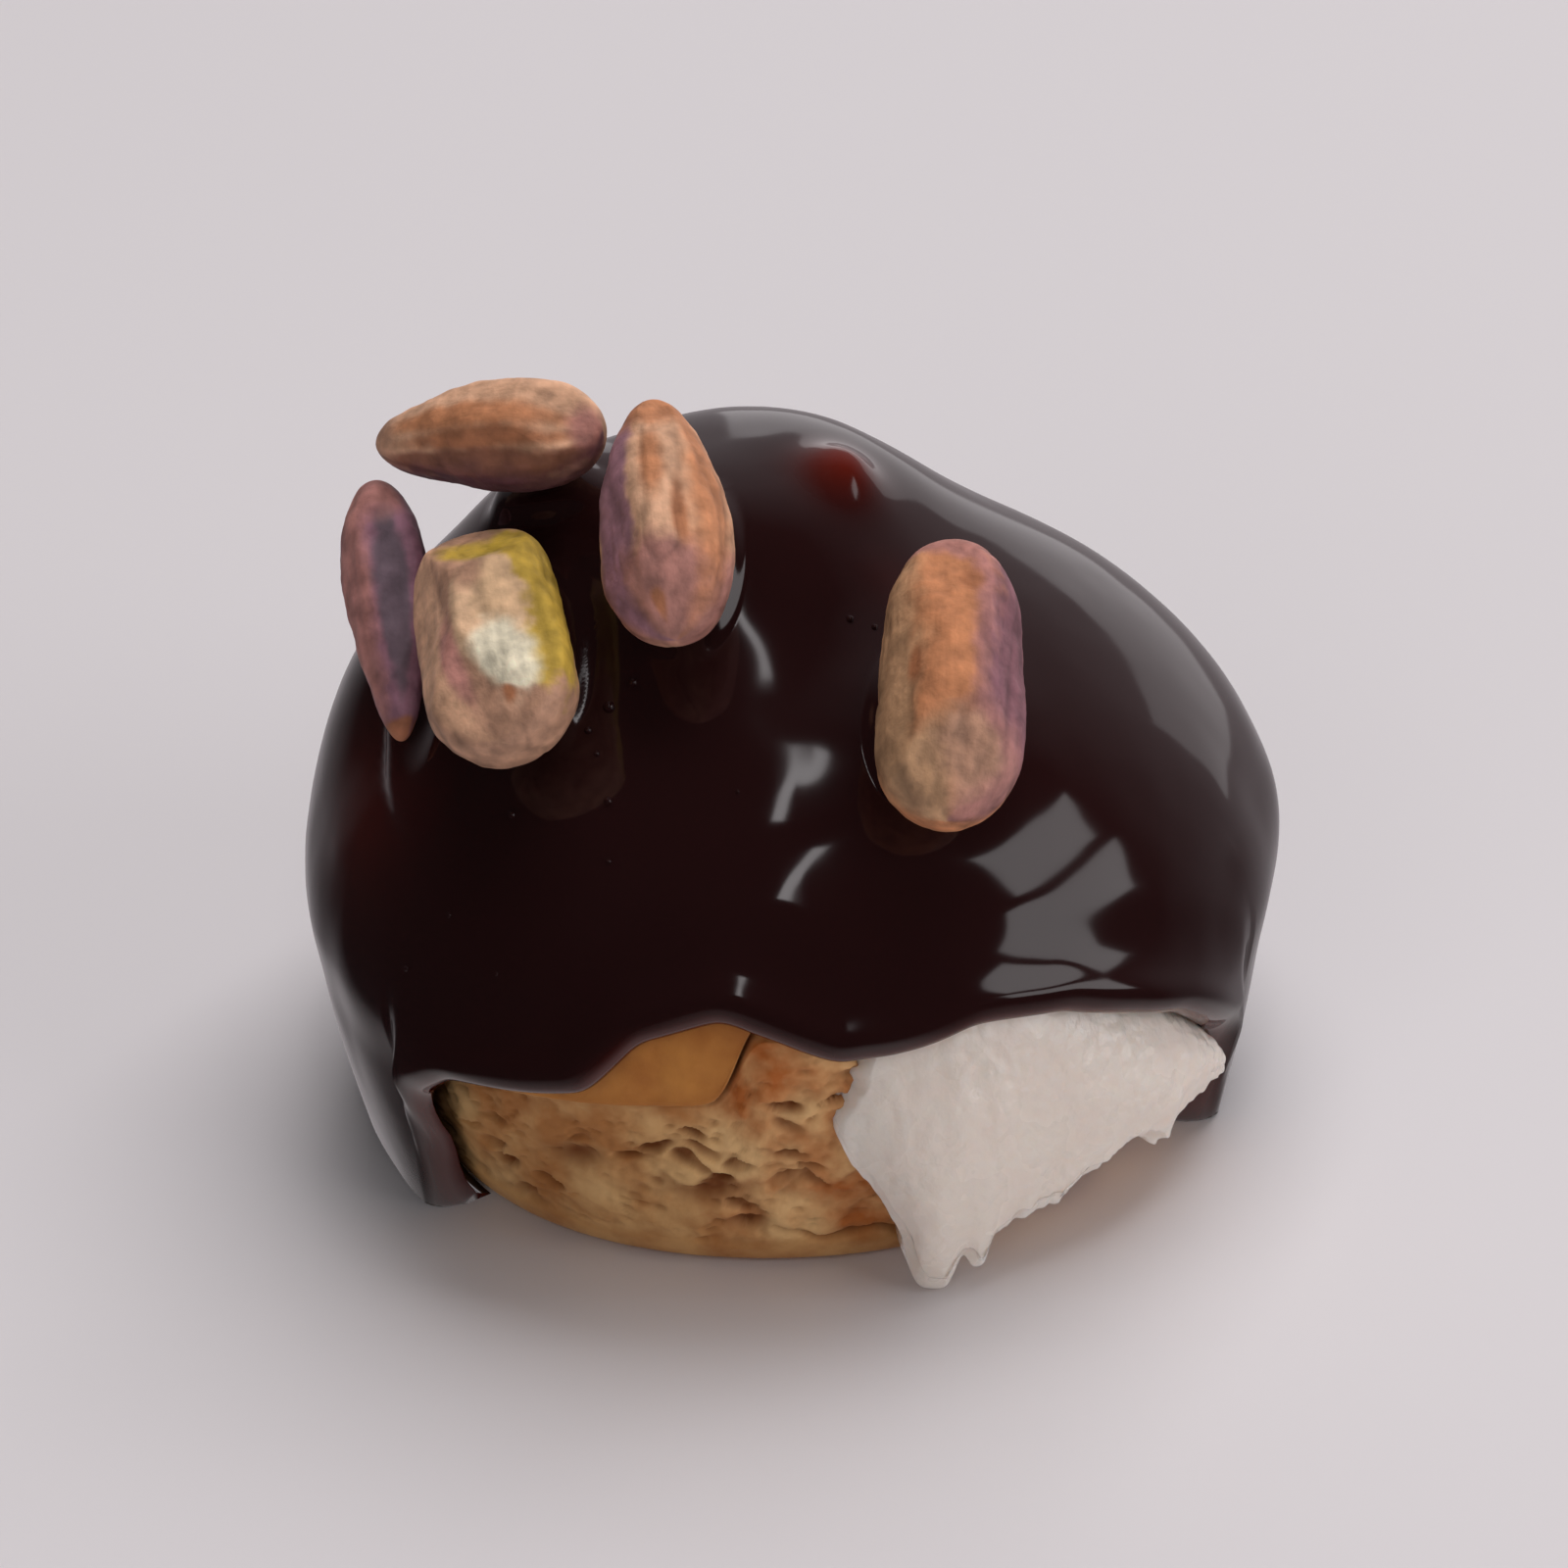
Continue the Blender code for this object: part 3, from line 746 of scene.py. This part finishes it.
def cream_face(azimuth, hem, lip, share):
    """Radius and height of the face: the neck plus a swelling, rounded in at the hem and thin at the left."""
    height = mix(hem, lip, share)
    swell = mix(CREAM_NECK, CREAM_SWELL, smooth((lip - hem) / 5))
    out = CREAM_NECK + (swell - CREAM_NECK) * fullness(share) - 0.9 * (1 - smooth((height - hem) / 0.8))
    out = mix(bowl(azimuth, height) + 1.6, out, smooth((azimuth + 86) / 13))
    return mix(out, bowl(azimuth, height) - 0.2, crumb_border(azimuth, height)), height


def curds(face):
    """Relief of whipped cream: broad folds, a fine roughness, and pits between curds where it is grainy."""
    grainy = smooth(0.5 + 1.2 * rough(face, 6.0, 94))
    folds = 0.45 * hills(face * np.array([1, 1, 0.8]), 7.0, 92) + 0.10 * rough(face, 2.4, 93, 2)
    return folds - (0.03 + 0.22 * grainy) * cells(face, 0.9, 91)[0] - 0.22


# %% The cream as a body
def cream_body():
    """Rings over the cavity's floor, over the rim, down to the hem, up the face and back over the cut. Where
    nothing spills, the ones outside are gathered at one inner ring."""
    azimuth = columns(CREAM_COLUMNS, 0.6)
    level = 0 * azimuth
    spill = smooth(around(CREAM_SPILL, azimuth, 1.0))
    hem = cream_hem(azimuth)
    rim = rim_height(azimuth) + GAP
    top = cut(azimuth, CAVITY_RADIUS) - GAP
    lip = np.maximum(np.minimum(sauce_edge(azimuth) + 0.6, top + 2.5), hem + 1.2)
    inner = CAVITY_RADIUS + 1.5 - GAP
    rest = np.minimum(rim, top) - 0.4

    def spilled(radius, height):
        return mix(inner, radius, spill), mix(rest, height, spill)

    floor = CAVITY_FLOOR + GAP + level
    rows = [(0.5 * CAVITY_RADIUS + level, floor), (CAVITY_RADIUS - 1 + level, floor)]
    rows += [spilled(bowl(azimuth, rim) - 2.0, rim), spilled(bowl(azimuth, rim) + 0.2, rim)]
    under = np.minimum(hem + 0.5, rim)
    for part in (0.3, 0.6, 0.85, 1.0):
        height = mix(rim, under, part)
        rows.append(spilled(bowl(azimuth, height) + CREAM_OFF_BASE, height))
    share = np.linspace(0, 1, FACE_ROWS)[:, None] ** 1.15
    out, height = cream_face(azimuth, hem, lip, share)
    for part, rise in ((0.35, 0.35), (0.7, 0.15), (0.92, 0.02)):
        rows.append(spilled(mix(bowl(azimuth, under) + CREAM_OFF_BASE, out[0], part), hem + rise))
    face = in_plan(azimuth, *spilled(out, height))
    face = face + outward(face) * (curds(face) * spill * smooth(share / 0.04))[..., None]
    inwards = [mix(inner, CREAM_NECK, spill) * part for part in (0.97, 0.85, 0.7, 0.5, 0.3)]
    roof = [(radius, cut(azimuth, radius) - GAP) for radius in inwards]
    rings = np.concatenate([rings_at(azimuth, rows), face, rings_at(azimuth, roof)])
    rings[..., 2] = np.maximum(rings[..., 2], LOWEST)
    return closed_body("cream", rings, (0, 0, CAVITY_FLOOR + GAP), (0, 0, CUT_HEIGHT - GAP))


cream = cream_body()
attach(cream, "root")
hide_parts("cream_filling")

# %% [markdown]
# ## Pistachio kernels
# A shelled kernel is a long barrel, blunt at its root and drawn in at its tip, with flat faces where it lay
# against the shell and a papery skin that dries into fine lengthwise wrinkles. Flat faces are made by pushing
# back whatever stands out past a plane. The skin's colours change slowly round the kernel, so a few broad
# patches of colour are painted on the points, each with a place along the kernel and a turn round it. The
# dark patches on the lower side of the shoulder kernel are painted shade, and so is the darkening in creases.

# %% Colours of the kernels
def linear(text):
    """Linear red, green and blue of an sRGB colour given as six hexadecimal digits."""
    parts = np.array([int(text[start : start + 2], 16) for start in (0, 2, 4)]) / 255
    return np.where(parts <= 0.04045, parts / 12.92, ((parts + 0.055) / 1.055) ** 2.4)


TAN, ORANGE, PEACH, ROSE = "C4967A", "C9865C", "DCAC8A", "BC8278"
PLUM, MAUVE, SLATE, SHADE_UMBER = "7E5462", "9C7080", "6E6069", "8E5A46"
OLIVE, MOSS, IVORY, RUST = "C49A74", "C0A038", "FBF2D4", "B0714C"
CREAMY = "DBB590"
CRISP, FIRM, SOFT = 0.25, 0.5, 1.0

# Each kernel: how blunt its ends are, how far its tip is drawn in, its flat faces (turn, lean towards the
# tip, share of the half size left), its ground colour, and its patches (place along from -1 to 1, turn, reach
# along, reach round, colour, softness of the patch's border)
KERNEL_LOOKS = {
    "pistachio_front": (4.0, 0.14, [(20, -4, 0.86), (128, 4, 0.86), (72, 34, 0.9), (76, -42, 0.92)], ORANGE, [
        (-0.1, 4, 1.1, 38, OLIVE, SOFT), (0.0, 104, 1.2, 14, ROSE, SOFT), (0.0, 146, 1.2, 40, PLUM, SOFT),
        (-0.85, 45, 0.30, 45, OLIVE, SOFT), (0.97, 80, 0.16, 200, ROSE, FIRM),
        (-0.8, 120, 0.35, 40, ROSE, SOFT), (-0.10, 38, 0.12, 8, RUST, SOFT), (-0.75, 90, 0.22, 30, TAN, SOFT),
        (0.62, 88, 0.10, 12, RUST, SOFT),
    ]),
    "pistachio_crown": (2.8, 0.32, [(42, 0, 0.76), (128, 4, 0.86), (100, -56, 0.86), (55, -50, 0.9)], PEACH, [
        (0.25, 34, 0.9, 34, MAUVE, 0.4), (-0.75, 95, 0.36, 200, ROSE, 0.7), (-0.2, 118, 0.30, 8, RUST, SOFT),
        (0.3, 92, 0.30, 14, ORANGE, SOFT), (0.0, 150, 0.9, 24, ORANGE, SOFT),
        (0.9, 90, 0.22, 90, ORANGE, SOFT), (-0.6, 20, 0.5, 20, MAUVE, SOFT), (-0.9, 80, 0.06, 10, RUST, SOFT),
    ]),
    "pistachio_peeled": (4.6, 0.12, [(132, -8, 0.78), (62, 4, 0.84), (118, 46, 0.82), (100, -48, 0.84)], TAN, [
        (0.10, 162, 0.95, 52, MOSS, CRISP), (-0.15, 120, 0.80, 32, CREAMY, CRISP),
        (-0.60, 128, 0.36, 28, IVORY, 0.6), (0.75, 110, 0.25, 34, MOSS, SOFT),
        (0.30, 108, 0.22, 14, TAN, SOFT), (-0.1, 56, 1.0, 20, PEACH, FIRM), (-0.5, 78, 0.4, 10, ROSE, SOFT),
        (0.99, 80, 0.12, 90, TAN, FIRM), (-0.99, 118, 0.12, 60, TAN, 0.4), (-0.90, 122, 0.04, 8, RUST, SOFT),
    ]),
    # The shoulder kernel's umber and plum patches at turns below zero are painted shade on its lower side
    "pistachio_shoulder": (2.8, 0.40, [(80, 6, 0.82), (14, 0, 0.84), (60, -52, 0.88), (130, 0, 0.9)], PEACH, [
        (0.0, 58, 1.1, 16, ORANGE, SOFT), (-0.2, 30, 0.9, 12, RUST, SOFT), (0.0, -4, 1.2, 22, SHADE_UMBER, FIRM),
        (-1.0, 40, 0.10, 90, ROSE, SOFT), (0.1, -50, 1.2, 40, PLUM, SOFT), (0.9, 50, 0.2, 60, TAN, SOFT),
    ]),
    "pistachio_flank": (2.5, 0.42, [(30, 0, 0.74), (100, 0, 0.86)], MAUVE, [
        (0.0, 100, 1.1, 38, ROSE, SOFT), (-0.05, 30, 0.74, 26, SLATE, FIRM),
        (-0.9, 60, 0.25, 120, ROSE, SOFT), (0.96, 30, 0.10, 200, RUST, FIRM), (0.0, -25, 1.0, 20, PLUM, SOFT),
    ]),
}

# %% The shape of a kernel
KERNEL_ROUND, KERNEL_ALONG = 132, 150
FACET_ROUNDING = 0.03
NEAR_POLE = 0.03
CREASE_WIDTH, CREASE_DEPTH, CREASE_SHADE = 0.07, 0.08, 0.25
ALMOST_FULL = 0.995
ROOM_ABOVE = 0.02


def barrel(place, turn, blunt, point, seed):
    """Half width times the root of one less a high power of the place, drawn in towards the tip, and bent."""
    girth = np.sqrt(1 - np.abs(place) ** blunt) * (1 - point * smooth((place + 1) / 2) ** 2)
    lean = 0.03 * np.sin(2.2 * place + seed)
    return np.stack(np.broadcast_arrays(place, girth * np.cos(turn) + lean, girth * np.sin(turn)), -1)


def flattened(shape, flats):
    """Pushes back what stands out past each plane, by a soft form of the larger of nothing and the excess."""
    for facing, towards_tip, keep in flats:
        angle, lift = np.radians([facing, towards_tip])
        plane = np.array([np.sin(lift), np.cos(lift) * np.cos(angle), np.cos(lift) * np.sin(angle)])
        excess = FACET_ROUNDING * np.logaddexp(0, (shape @ plane - keep) / FACET_ROUNDING)
        shape = shape - excess[..., None] * plane
    return shape


def fitted(shape, half):
    """The shape scaled so that it just fills its half sizes."""
    return shape / np.abs(shape).max((0, 1)) * half


# %% The colours of a kernel
def skin_colour(local, place, degrees, ground, patches, seed):
    """The ground colour with each patch mixed in inside its ellipse, whose border wavers with noise."""
    colour = np.broadcast_to(linear(ground), local.shape).copy()
    waver = 0.30 * rough(local * np.array([0.4, 1, 1]), 2.0, seed + 4) + 0.22 * rough(local, 0.7, seed + 5)
    for at, at_turn, reach, reach_round, shade, softness in patches:
        gap = (degrees - at_turn + 180) % 360 - 180
        away = np.hypot((place - at) / reach, gap / reach_round) + waver
        colour = mix(colour, linear(shade), (0.92 * smooth(0.5 + (1 - away) / softness))[..., None])
    return colour


# %% A kernel as a body
def kernel_body(name, node, seed):
    """The flattened barrel with dents, and with wrinkles and creases stretched along it, set in its place."""
    middle, axes, half = KERNELS[node]
    blunt, point, flats, ground, patches = KERNEL_LOOKS[node]
    place = -np.cos(np.linspace(NEAR_POLE, np.pi - NEAR_POLE, KERNEL_ALONG))[:, None]
    turn = np.linspace(0, 2 * np.pi, KERNEL_ROUND, endpoint=False)[None, :]
    local = fitted(flattened(barrel(place, turn, blunt, point, seed), flats), half)
    lengthwise = local * np.array([0.16, 1, 1])
    crease = bump(rough(lengthwise, 3.4, seed + 6), CREASE_WIDTH)
    wrinkle = 0.12 * rough(lengthwise, 2.0, seed) + 0.05 * rough(lengthwise, 0.7, seed + 1)
    dents = 0.32 * rough(local, 4.2, seed + 2) + 0.09 * rough(local, 1.0, seed + 3)
    relief = (wrinkle - CREASE_DEPTH * crease + dents) * np.sqrt(1 - place**2)
    local = fitted(local + outward(local) * relief[..., None], half) * ALMOST_FULL
    colour = skin_colour(local, place, np.degrees(turn), ground, patches, seed)
    colour = colour * (1 - CREASE_SHADE * crease)[..., None]
    grid = middle + local @ axes
    grid[..., 2] = np.minimum(grid[..., 2], CAD_BOX[1][2] / MM - ROOM_ABOVE)
    ends = [grid[end].mean(0) for end in (0, -1)]
    return closed_body(name, grid, ends[0], ends[1], {"skin_colour": colour, "lengthwise": lengthwise})


kernels = {}
for number, node in enumerate(KERNEL_AIM):
    kernels[node] = kernel_body("kernel_" + node.split("_")[1], node, 100 + 10 * number)
    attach(kernels[node], "root")
    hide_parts(node)

# %% [markdown]
# ## Finishes
# Every material is a Principled shader fed by a few nodes. One helper adds a node, sets it and links it. The
# Mix node keeps separate sockets for numbers and for colours, so those get names here. A noise texture counts
# its lumps in each metre, so its scale is one over their real width.

# %% One helper for nodes
MIX_A, MIX_B, MIXED = 6, 7, 2
NUMBER_A, NUMBER_B = 2, 3


def add(material, kind, inputs, **settings):
    """Adds a node. Inputs are given by name or number, as values or as the output that feeds them."""
    node = material.node_tree.nodes.new("ShaderNode" + kind)
    for name, value in settings.items():
        setattr(node, name, value)
    for name, value in inputs.items():
        if isinstance(value, bpy.types.NodeSocket):
            material.node_tree.links.new(value, node.inputs[name])
        else:
            node.inputs[name].default_value = value
    return node


def start_material(name):
    """An empty material with nodes."""
    material = bpy.data.materials.new(name)
    material.use_nodes = True
    material.node_tree.nodes.clear()
    return material


def finish_material(material, inputs, *bodies):
    """Puts the surface on the output and the material on its bodies."""
    shader = add(material, "BsdfPrincipled", inputs)
    add(material, "OutputMaterial", {"Surface": shader.outputs[0]})
    for body in bodies:
        body.data.materials.clear()
        body.data.materials.append(material)
    print("finish", material.name, "on", [body.name for body in bodies])


def rgba(text):
    """The linear colour of six hexadecimal digits, opaque."""
    return (*linear(text), 1.0)


def scale_of(width):
    """Noise scale on Object coordinates for lumps of a width in millimetres."""
    return 1 / (width * MM)


# %% [markdown]
# ### Sauce
# Cooked chocolate sauce is sugar syrup, cocoa and fat: almost black in depth, red-brown where a thin film
# lets light through, and as glossy as varnish while it is wet. Syrup bends light about as much as oil does,
# 1.46. A film that begins to set is a touch duller in clouds a centimetre wide.

# %% Sauce: cooked chocolate sauce, poured and still wet
CLOUD_WIDTH = 11.1

sauce_finish = start_material("chocolate_sauce")
thin = add(sauce_finish, "Attribute", {}, attribute_name="thin")
place = add(sauce_finish, "TexCoord", {})
cloud = add(sauce_finish, "TexNoise", {
    "Vector": place.outputs["Object"], "Scale": scale_of(CLOUD_WIDTH), "Detail": 3.0,
})
film = add(sauce_finish, "Mix", {
    0: thin.outputs["Fac"], MIX_A: rgba("251010"), MIX_B: rgba("6A1E12"),
}, data_type="RGBA")
shade = add(sauce_finish, "MapRange", {
    "Value": cloud.outputs["Fac"], "From Min": 0.3, "From Max": 0.7, "To Min": 0.06, "To Max": 0.12,
})
finish_material(sauce_finish, {
    "Base Color": film.outputs[MIXED], "Roughness": shade.outputs[0], "IOR": 1.46,
}, sauce, bubbles)

# %% [markdown]
# ### Choux
# The crust is egg and butter browned in the oven, satin, in blotches a few millimetres wide. The crumb is the
# same dough unbrowned: matt, pale between the pores, with painted shade inside them and in cracks, and
# toasted more where it was torn. Its grain, under a millimetre, is the size of the finest pores.

# %% Choux: baked crust and torn crumb
BLOTCH_WIDTH, GRAIN_WIDTH = 3.85, 0.714

choux_finish = start_material("baked_choux")
pit_shade, skin, torn = [
    add(choux_finish, "Attribute", {}, attribute_name=name) for name in ("pit_shade", "skin", "torn")
]
place = add(choux_finish, "TexCoord", {})
blotch, speck = [
    add(choux_finish, "TexNoise", {
        "Vector": place.outputs["Object"], "Scale": scale_of(width), "Detail": detail,
    })
    for width, detail in ((BLOTCH_WIDTH, 4.0), (GRAIN_WIDTH, 3.0))
]
patchy = add(choux_finish, "MapRange", {"Value": blotch.outputs["Fac"], "From Min": 0.35, "From Max": 0.65})
pale, toasted, golden = [
    add(choux_finish, "Mix", {0: patchy.outputs[0], MIX_A: rgba(light), MIX_B: rgba(dark)}, data_type="RGBA")
    for light, dark in (("E8BC80", "BC8048"), ("F2C68A", "B8672A"), ("CE8838", "B06822"))
]
crumb_colour = add(choux_finish, "Mix", {
    0: torn.outputs["Fac"], MIX_A: pale.outputs[MIXED], MIX_B: toasted.outputs[MIXED],
}, data_type="RGBA")
# Painted shade: the crumb colour darkened towards deep brown in pores and cracks
deep = add(choux_finish, "Mix", {
    0: pit_shade.outputs["Fac"], MIX_A: crumb_colour.outputs[MIXED], MIX_B: rgba("80481F"),
}, data_type="RGBA")
choux_colour = add(choux_finish, "Mix", {
    0: skin.outputs["Fac"], MIX_A: deep.outputs[MIXED], MIX_B: golden.outputs[MIXED],
}, data_type="RGBA")
dull = add(choux_finish, "MapRange", {"Value": skin.outputs["Fac"], "To Min": 0.85, "To Max": 0.55})
grain = add(choux_finish, "Bump", {"Height": speck.outputs["Fac"], "Strength": 0.35, "Distance": 0.2 * MM})
finish_material(choux_finish, {
    "Base Color": choux_colour.outputs[MIXED], "Roughness": dull.outputs[0], "Normal": grain.outputs[0],
}, base, cap)

# %% [markdown]
# ### Cream
# Whipped cream is fat and air in water. Light goes a millimetre or two in before it comes back out, so its
# shadows are soft and a little warm. Beads of fat a millimetre wide make it mealy, and a film of water that
# gathers in patches gives it a weak, broken shine.

# %% Cream: whipped, slightly curdled and moist
BEAD_WIDTH, WET_WIDTH = 1.11, 2.86
LIGHT_DEPTH = 1.6

cream_finish = start_material("whipped_cream")
place = add(cream_finish, "TexCoord", {})
beads, slick = [
    add(cream_finish, "TexNoise", {
        "Vector": place.outputs["Object"], "Scale": scale_of(width), "Detail": detail,
    })
    for width, detail in ((BEAD_WIDTH, 4.0), (WET_WIDTH, 2.0))
]
wet = add(cream_finish, "MapRange", {
    "Value": slick.outputs["Fac"], "From Min": 0.35, "From Max": 0.65, "To Min": 0.18, "To Max": 0.42,
})
tone = add(cream_finish, "Mix", {
    0: slick.outputs["Fac"], MIX_A: rgba("FBEFE4"), MIX_B: rgba("F3E4D8"),
}, data_type="RGBA")
mealy = add(cream_finish, "Bump", {"Height": beads.outputs["Fac"], "Strength": 0.5, "Distance": 0.4 * MM})
finish_material(cream_finish, {
    "Base Color": tone.outputs[MIXED], "Roughness": wet.outputs[0], "Normal": mealy.outputs[0],
    "Subsurface Weight": 0.6, "Subsurface Radius": (1.0, 0.82, 0.7), "Subsurface Scale": LIGHT_DEPTH * MM,
    "Coat Weight": 0.25, "Coat Roughness": 0.15, "Coat Normal": mealy.outputs[0],
}, cream)

# %% [markdown]
# ### Kernel skin
# The skin is a dry brown-purple paper, matt. Its painted colours get streaks along the kernel and a fine
# mottle. The streaks read the kernel's own lengthwise places, which are in millimetres, so their scale is a
# number of streaks to the millimetre.

# %% Kernel skin: dried seed coat
STREAKS_PER_MM = 1.2
MOTTLE_WIDTH = 1.25

skin_finish = start_material("pistachio_seed_coat")
painted = add(skin_finish, "Attribute", {}, attribute_name="skin_colour")
along = add(skin_finish, "Attribute", {}, attribute_name="lengthwise")
streak = add(skin_finish, "TexNoise", {
    "Vector": along.outputs["Vector"], "Scale": STREAKS_PER_MM, "Detail": 3.0,
})
place = add(skin_finish, "TexCoord", {})
mottle = add(skin_finish, "TexNoise", {
    "Vector": place.outputs["Object"], "Scale": scale_of(MOTTLE_WIDTH), "Detail": 5.0,
})
both = add(skin_finish, "Mix", {0: 0.7, NUMBER_A: streak.outputs["Fac"], NUMBER_B: mottle.outputs["Fac"]})
light = add(skin_finish, "MapRange", {
    "Value": both.outputs[0], "From Min": 0.36, "From Max": 0.64, "To Min": 0.72, "To Max": 1.28,
})
toned = add(skin_finish, "VectorMath", {
    0: painted.outputs["Vector"], "Scale": light.outputs[0],
}, operation="SCALE")
paper = add(skin_finish, "Bump", {"Height": both.outputs[0], "Strength": 0.8, "Distance": 0.4 * MM})
finish_material(skin_finish, {
    "Base Color": toned.outputs[0], "Roughness": 0.62, "Normal": paper.outputs[0],
}, *kernels.values())

# %% [markdown]
# ## Studio
# The puff stands on a pale floor. The sauce mirrors the room, so the lights decide how it looks: a softbox
# on the right like a window with two panes, two narrow strips high up in front, and a pale wall behind. Two
# more lamps are left out of reflections: a large one overhead, which lights the floor and the cream, and a
# weak one in front, which lifts the shadows.

# %% Floor
# One round face on the ground, three metres in radius: its rim is a row of cosines and sines
FLOOR_RADIUS, FLOOR_POINTS = 3000, 96
turn = np.arange(FLOOR_POINTS) / FLOOR_POINTS * 2 * np.pi
floor_rim = FLOOR_RADIUS * np.stack([np.cos(turn), np.sin(turn), 0 * turn], -1)
floor = mesh_body("floor", floor_rim, [list(range(FLOOR_POINTS))])
floor_finish = start_material("pale_floor")
finish_material(floor_finish, {"Base Color": rgba("E6E3E4"), "Roughness": 0.5}, floor)
floor.visible_glossy = False


# %% Lights
# A lamp is its name, azimuth, elevation, distance, width and height, power and roll, and whether the sauce
# mirrors it. Lengths are in metres here and power in watts.
LAMPS = [
    ("window_low", -26, 8, 0.8, (0.62, 0.24), 1.05, 0, True),
    ("window_high", -26, 31, 0.8, (0.50, 0.26), 0.95, 0, True),
    ("strip_high", -83, 75, 0.9, (0.04, 0.34), 0.215, 20, True),
    ("strip_low", -83, 45, 0.9, (0.035, 0.28), 0.15, 22, True),
    ("wall", 64, 2, 1.2, (1.3, 0.5), 1.1, 0, True),
    ("overhead", 60, 68, 1.2, (1.0, 1.0), 10.3, 0, False),
    ("front", -112, 32, 0.9, (0.6, 0.5), 1.2, 0, False),
]
LAMP_COLOUR = (1.0, 0.97, 0.985)


def softbox(name, azimuth, elevation, distance, size, power, roll, in_mirrors):
    """A rectangular lamp at an azimuth and elevation round the puff, which looks at the puff."""
    angle, rise = np.radians([azimuth, elevation])
    away = np.array([np.cos(rise) * np.cos(angle), np.cos(rise) * np.sin(angle), np.sin(rise)])
    lamp = bpy.data.lights.new(name, "AREA")
    lamp.shape = "RECTANGLE"
    lamp.size, lamp.size_y = size
    lamp.energy = power
    lamp.color = LAMP_COLOUR
    holder = placed(name, lamp)
    holder.matrix_world = looking_at(away * distance + PUFF_MIDDLE * MM, away, roll)
    holder.visible_glossy = in_mirrors


def looking_at(place, backwards, roll):
    """A matrix whose -Z looks against `backwards` with its Y as upright as it can be, turned by a roll."""
    backwards = np.array(backwards) / np.linalg.norm(backwards)
    side = np.cross([0, 0, 1], backwards)
    side /= np.linalg.norm(side)
    up = np.cross(backwards, side)
    turn = np.radians(roll)
    across = side * np.cos(turn) - up * np.sin(turn)
    upright = up * np.cos(turn) + side * np.sin(turn)
    return Matrix([*np.stack([across, upright, backwards, place], 1).tolist(), [0, 0, 0, 1]])


for lamp in LAMPS:
    softbox(*lamp)
print("lamps:", [name for name, *_ in LAMPS])

# %% [markdown]
# ### Room
# The rest of the room is a colour that depends on the direction one looks in: dark in front and on the left,
# and pale behind. The floor is left out of reflections, as one big mirrored floor would turn the sides of the
# sauce white. A pale patch straight below stands in for it.

# %% Room
world = bpy.data.worlds.new("room")
bpy.context.scene.world = world
world.use_nodes = True
world.node_tree.nodes.clear()
direction = add(world, "TexCoord", {})
split = add(world, "SeparateXYZ", {0: direction.outputs["Generated"]})
left = add(world, "Math", {0: split.outputs["X"], 1: 0.0}, operation="MINIMUM")
away = add(world, "Math", {0: left.outputs[0], 1: 0.8, 2: split.outputs["Y"]}, operation="MULTIPLY_ADD")
depth = add(world, "MapRange", {"Value": away.outputs[0], "From Min": 0.0, "From Max": 0.6})
room = add(world, "Mix", {
    0: depth.outputs[0], MIX_A: rgba("2A2829"), MIX_B: rgba("A49DA0"),
}, data_type="RGBA")
below = add(world, "MapRange", {"Value": split.outputs["Z"], "From Min": -0.55, "From Max": -0.85})
aside = add(world, "Math", {0: split.outputs["X"]}, operation="ABSOLUTE")
ahead = add(world, "MapRange", {"Value": aside.outputs[0], "From Min": 0.7, "From Max": 0.3})
table = add(world, "Math", {0: below.outputs[0], 1: ahead.outputs[0]}, operation="MULTIPLY")
whole = add(world, "Mix", {
    0: table.outputs[0], MIX_A: room.outputs[MIXED], MIX_B: rgba("C4BEBE"),
}, data_type="RGBA")
glow = add(world, "Background", {"Color": whole.outputs[MIXED], "Strength": 1.0})
add(world, "OutputWorld", {"Surface": glow.outputs[0]})

# %% Camera
# Angles in degrees, distance and height in metres, lens and sensor in millimetres
VIEW_ELEVATION, VIEW_ROLL, VIEW_DISTANCE = 34.18, 2.48, 0.50
AIM_HEIGHT = 0.0195
LENS, SENSOR = 196.0, 36.0
rise = np.radians(VIEW_ELEVATION)
stand = VIEW_DISTANCE * np.array([0, -np.cos(rise), np.sin(rise)])
lens = bpy.data.cameras.new("camera")
lens.lens, lens.sensor_width = LENS, SENSOR
camera = placed("camera", lens)
camera.matrix_world = looking_at(stand, stand - np.array([0, 0, AIM_HEIGHT]), VIEW_ROLL)
bpy.context.scene.camera = camera
bpy.context.scene.view_settings.view_transform = "Standard"
print("camera at", stand.round(3).tolist(), "in metres, lens", LENS, "mm")

# %% The end
bpy.context.view_layer.update()
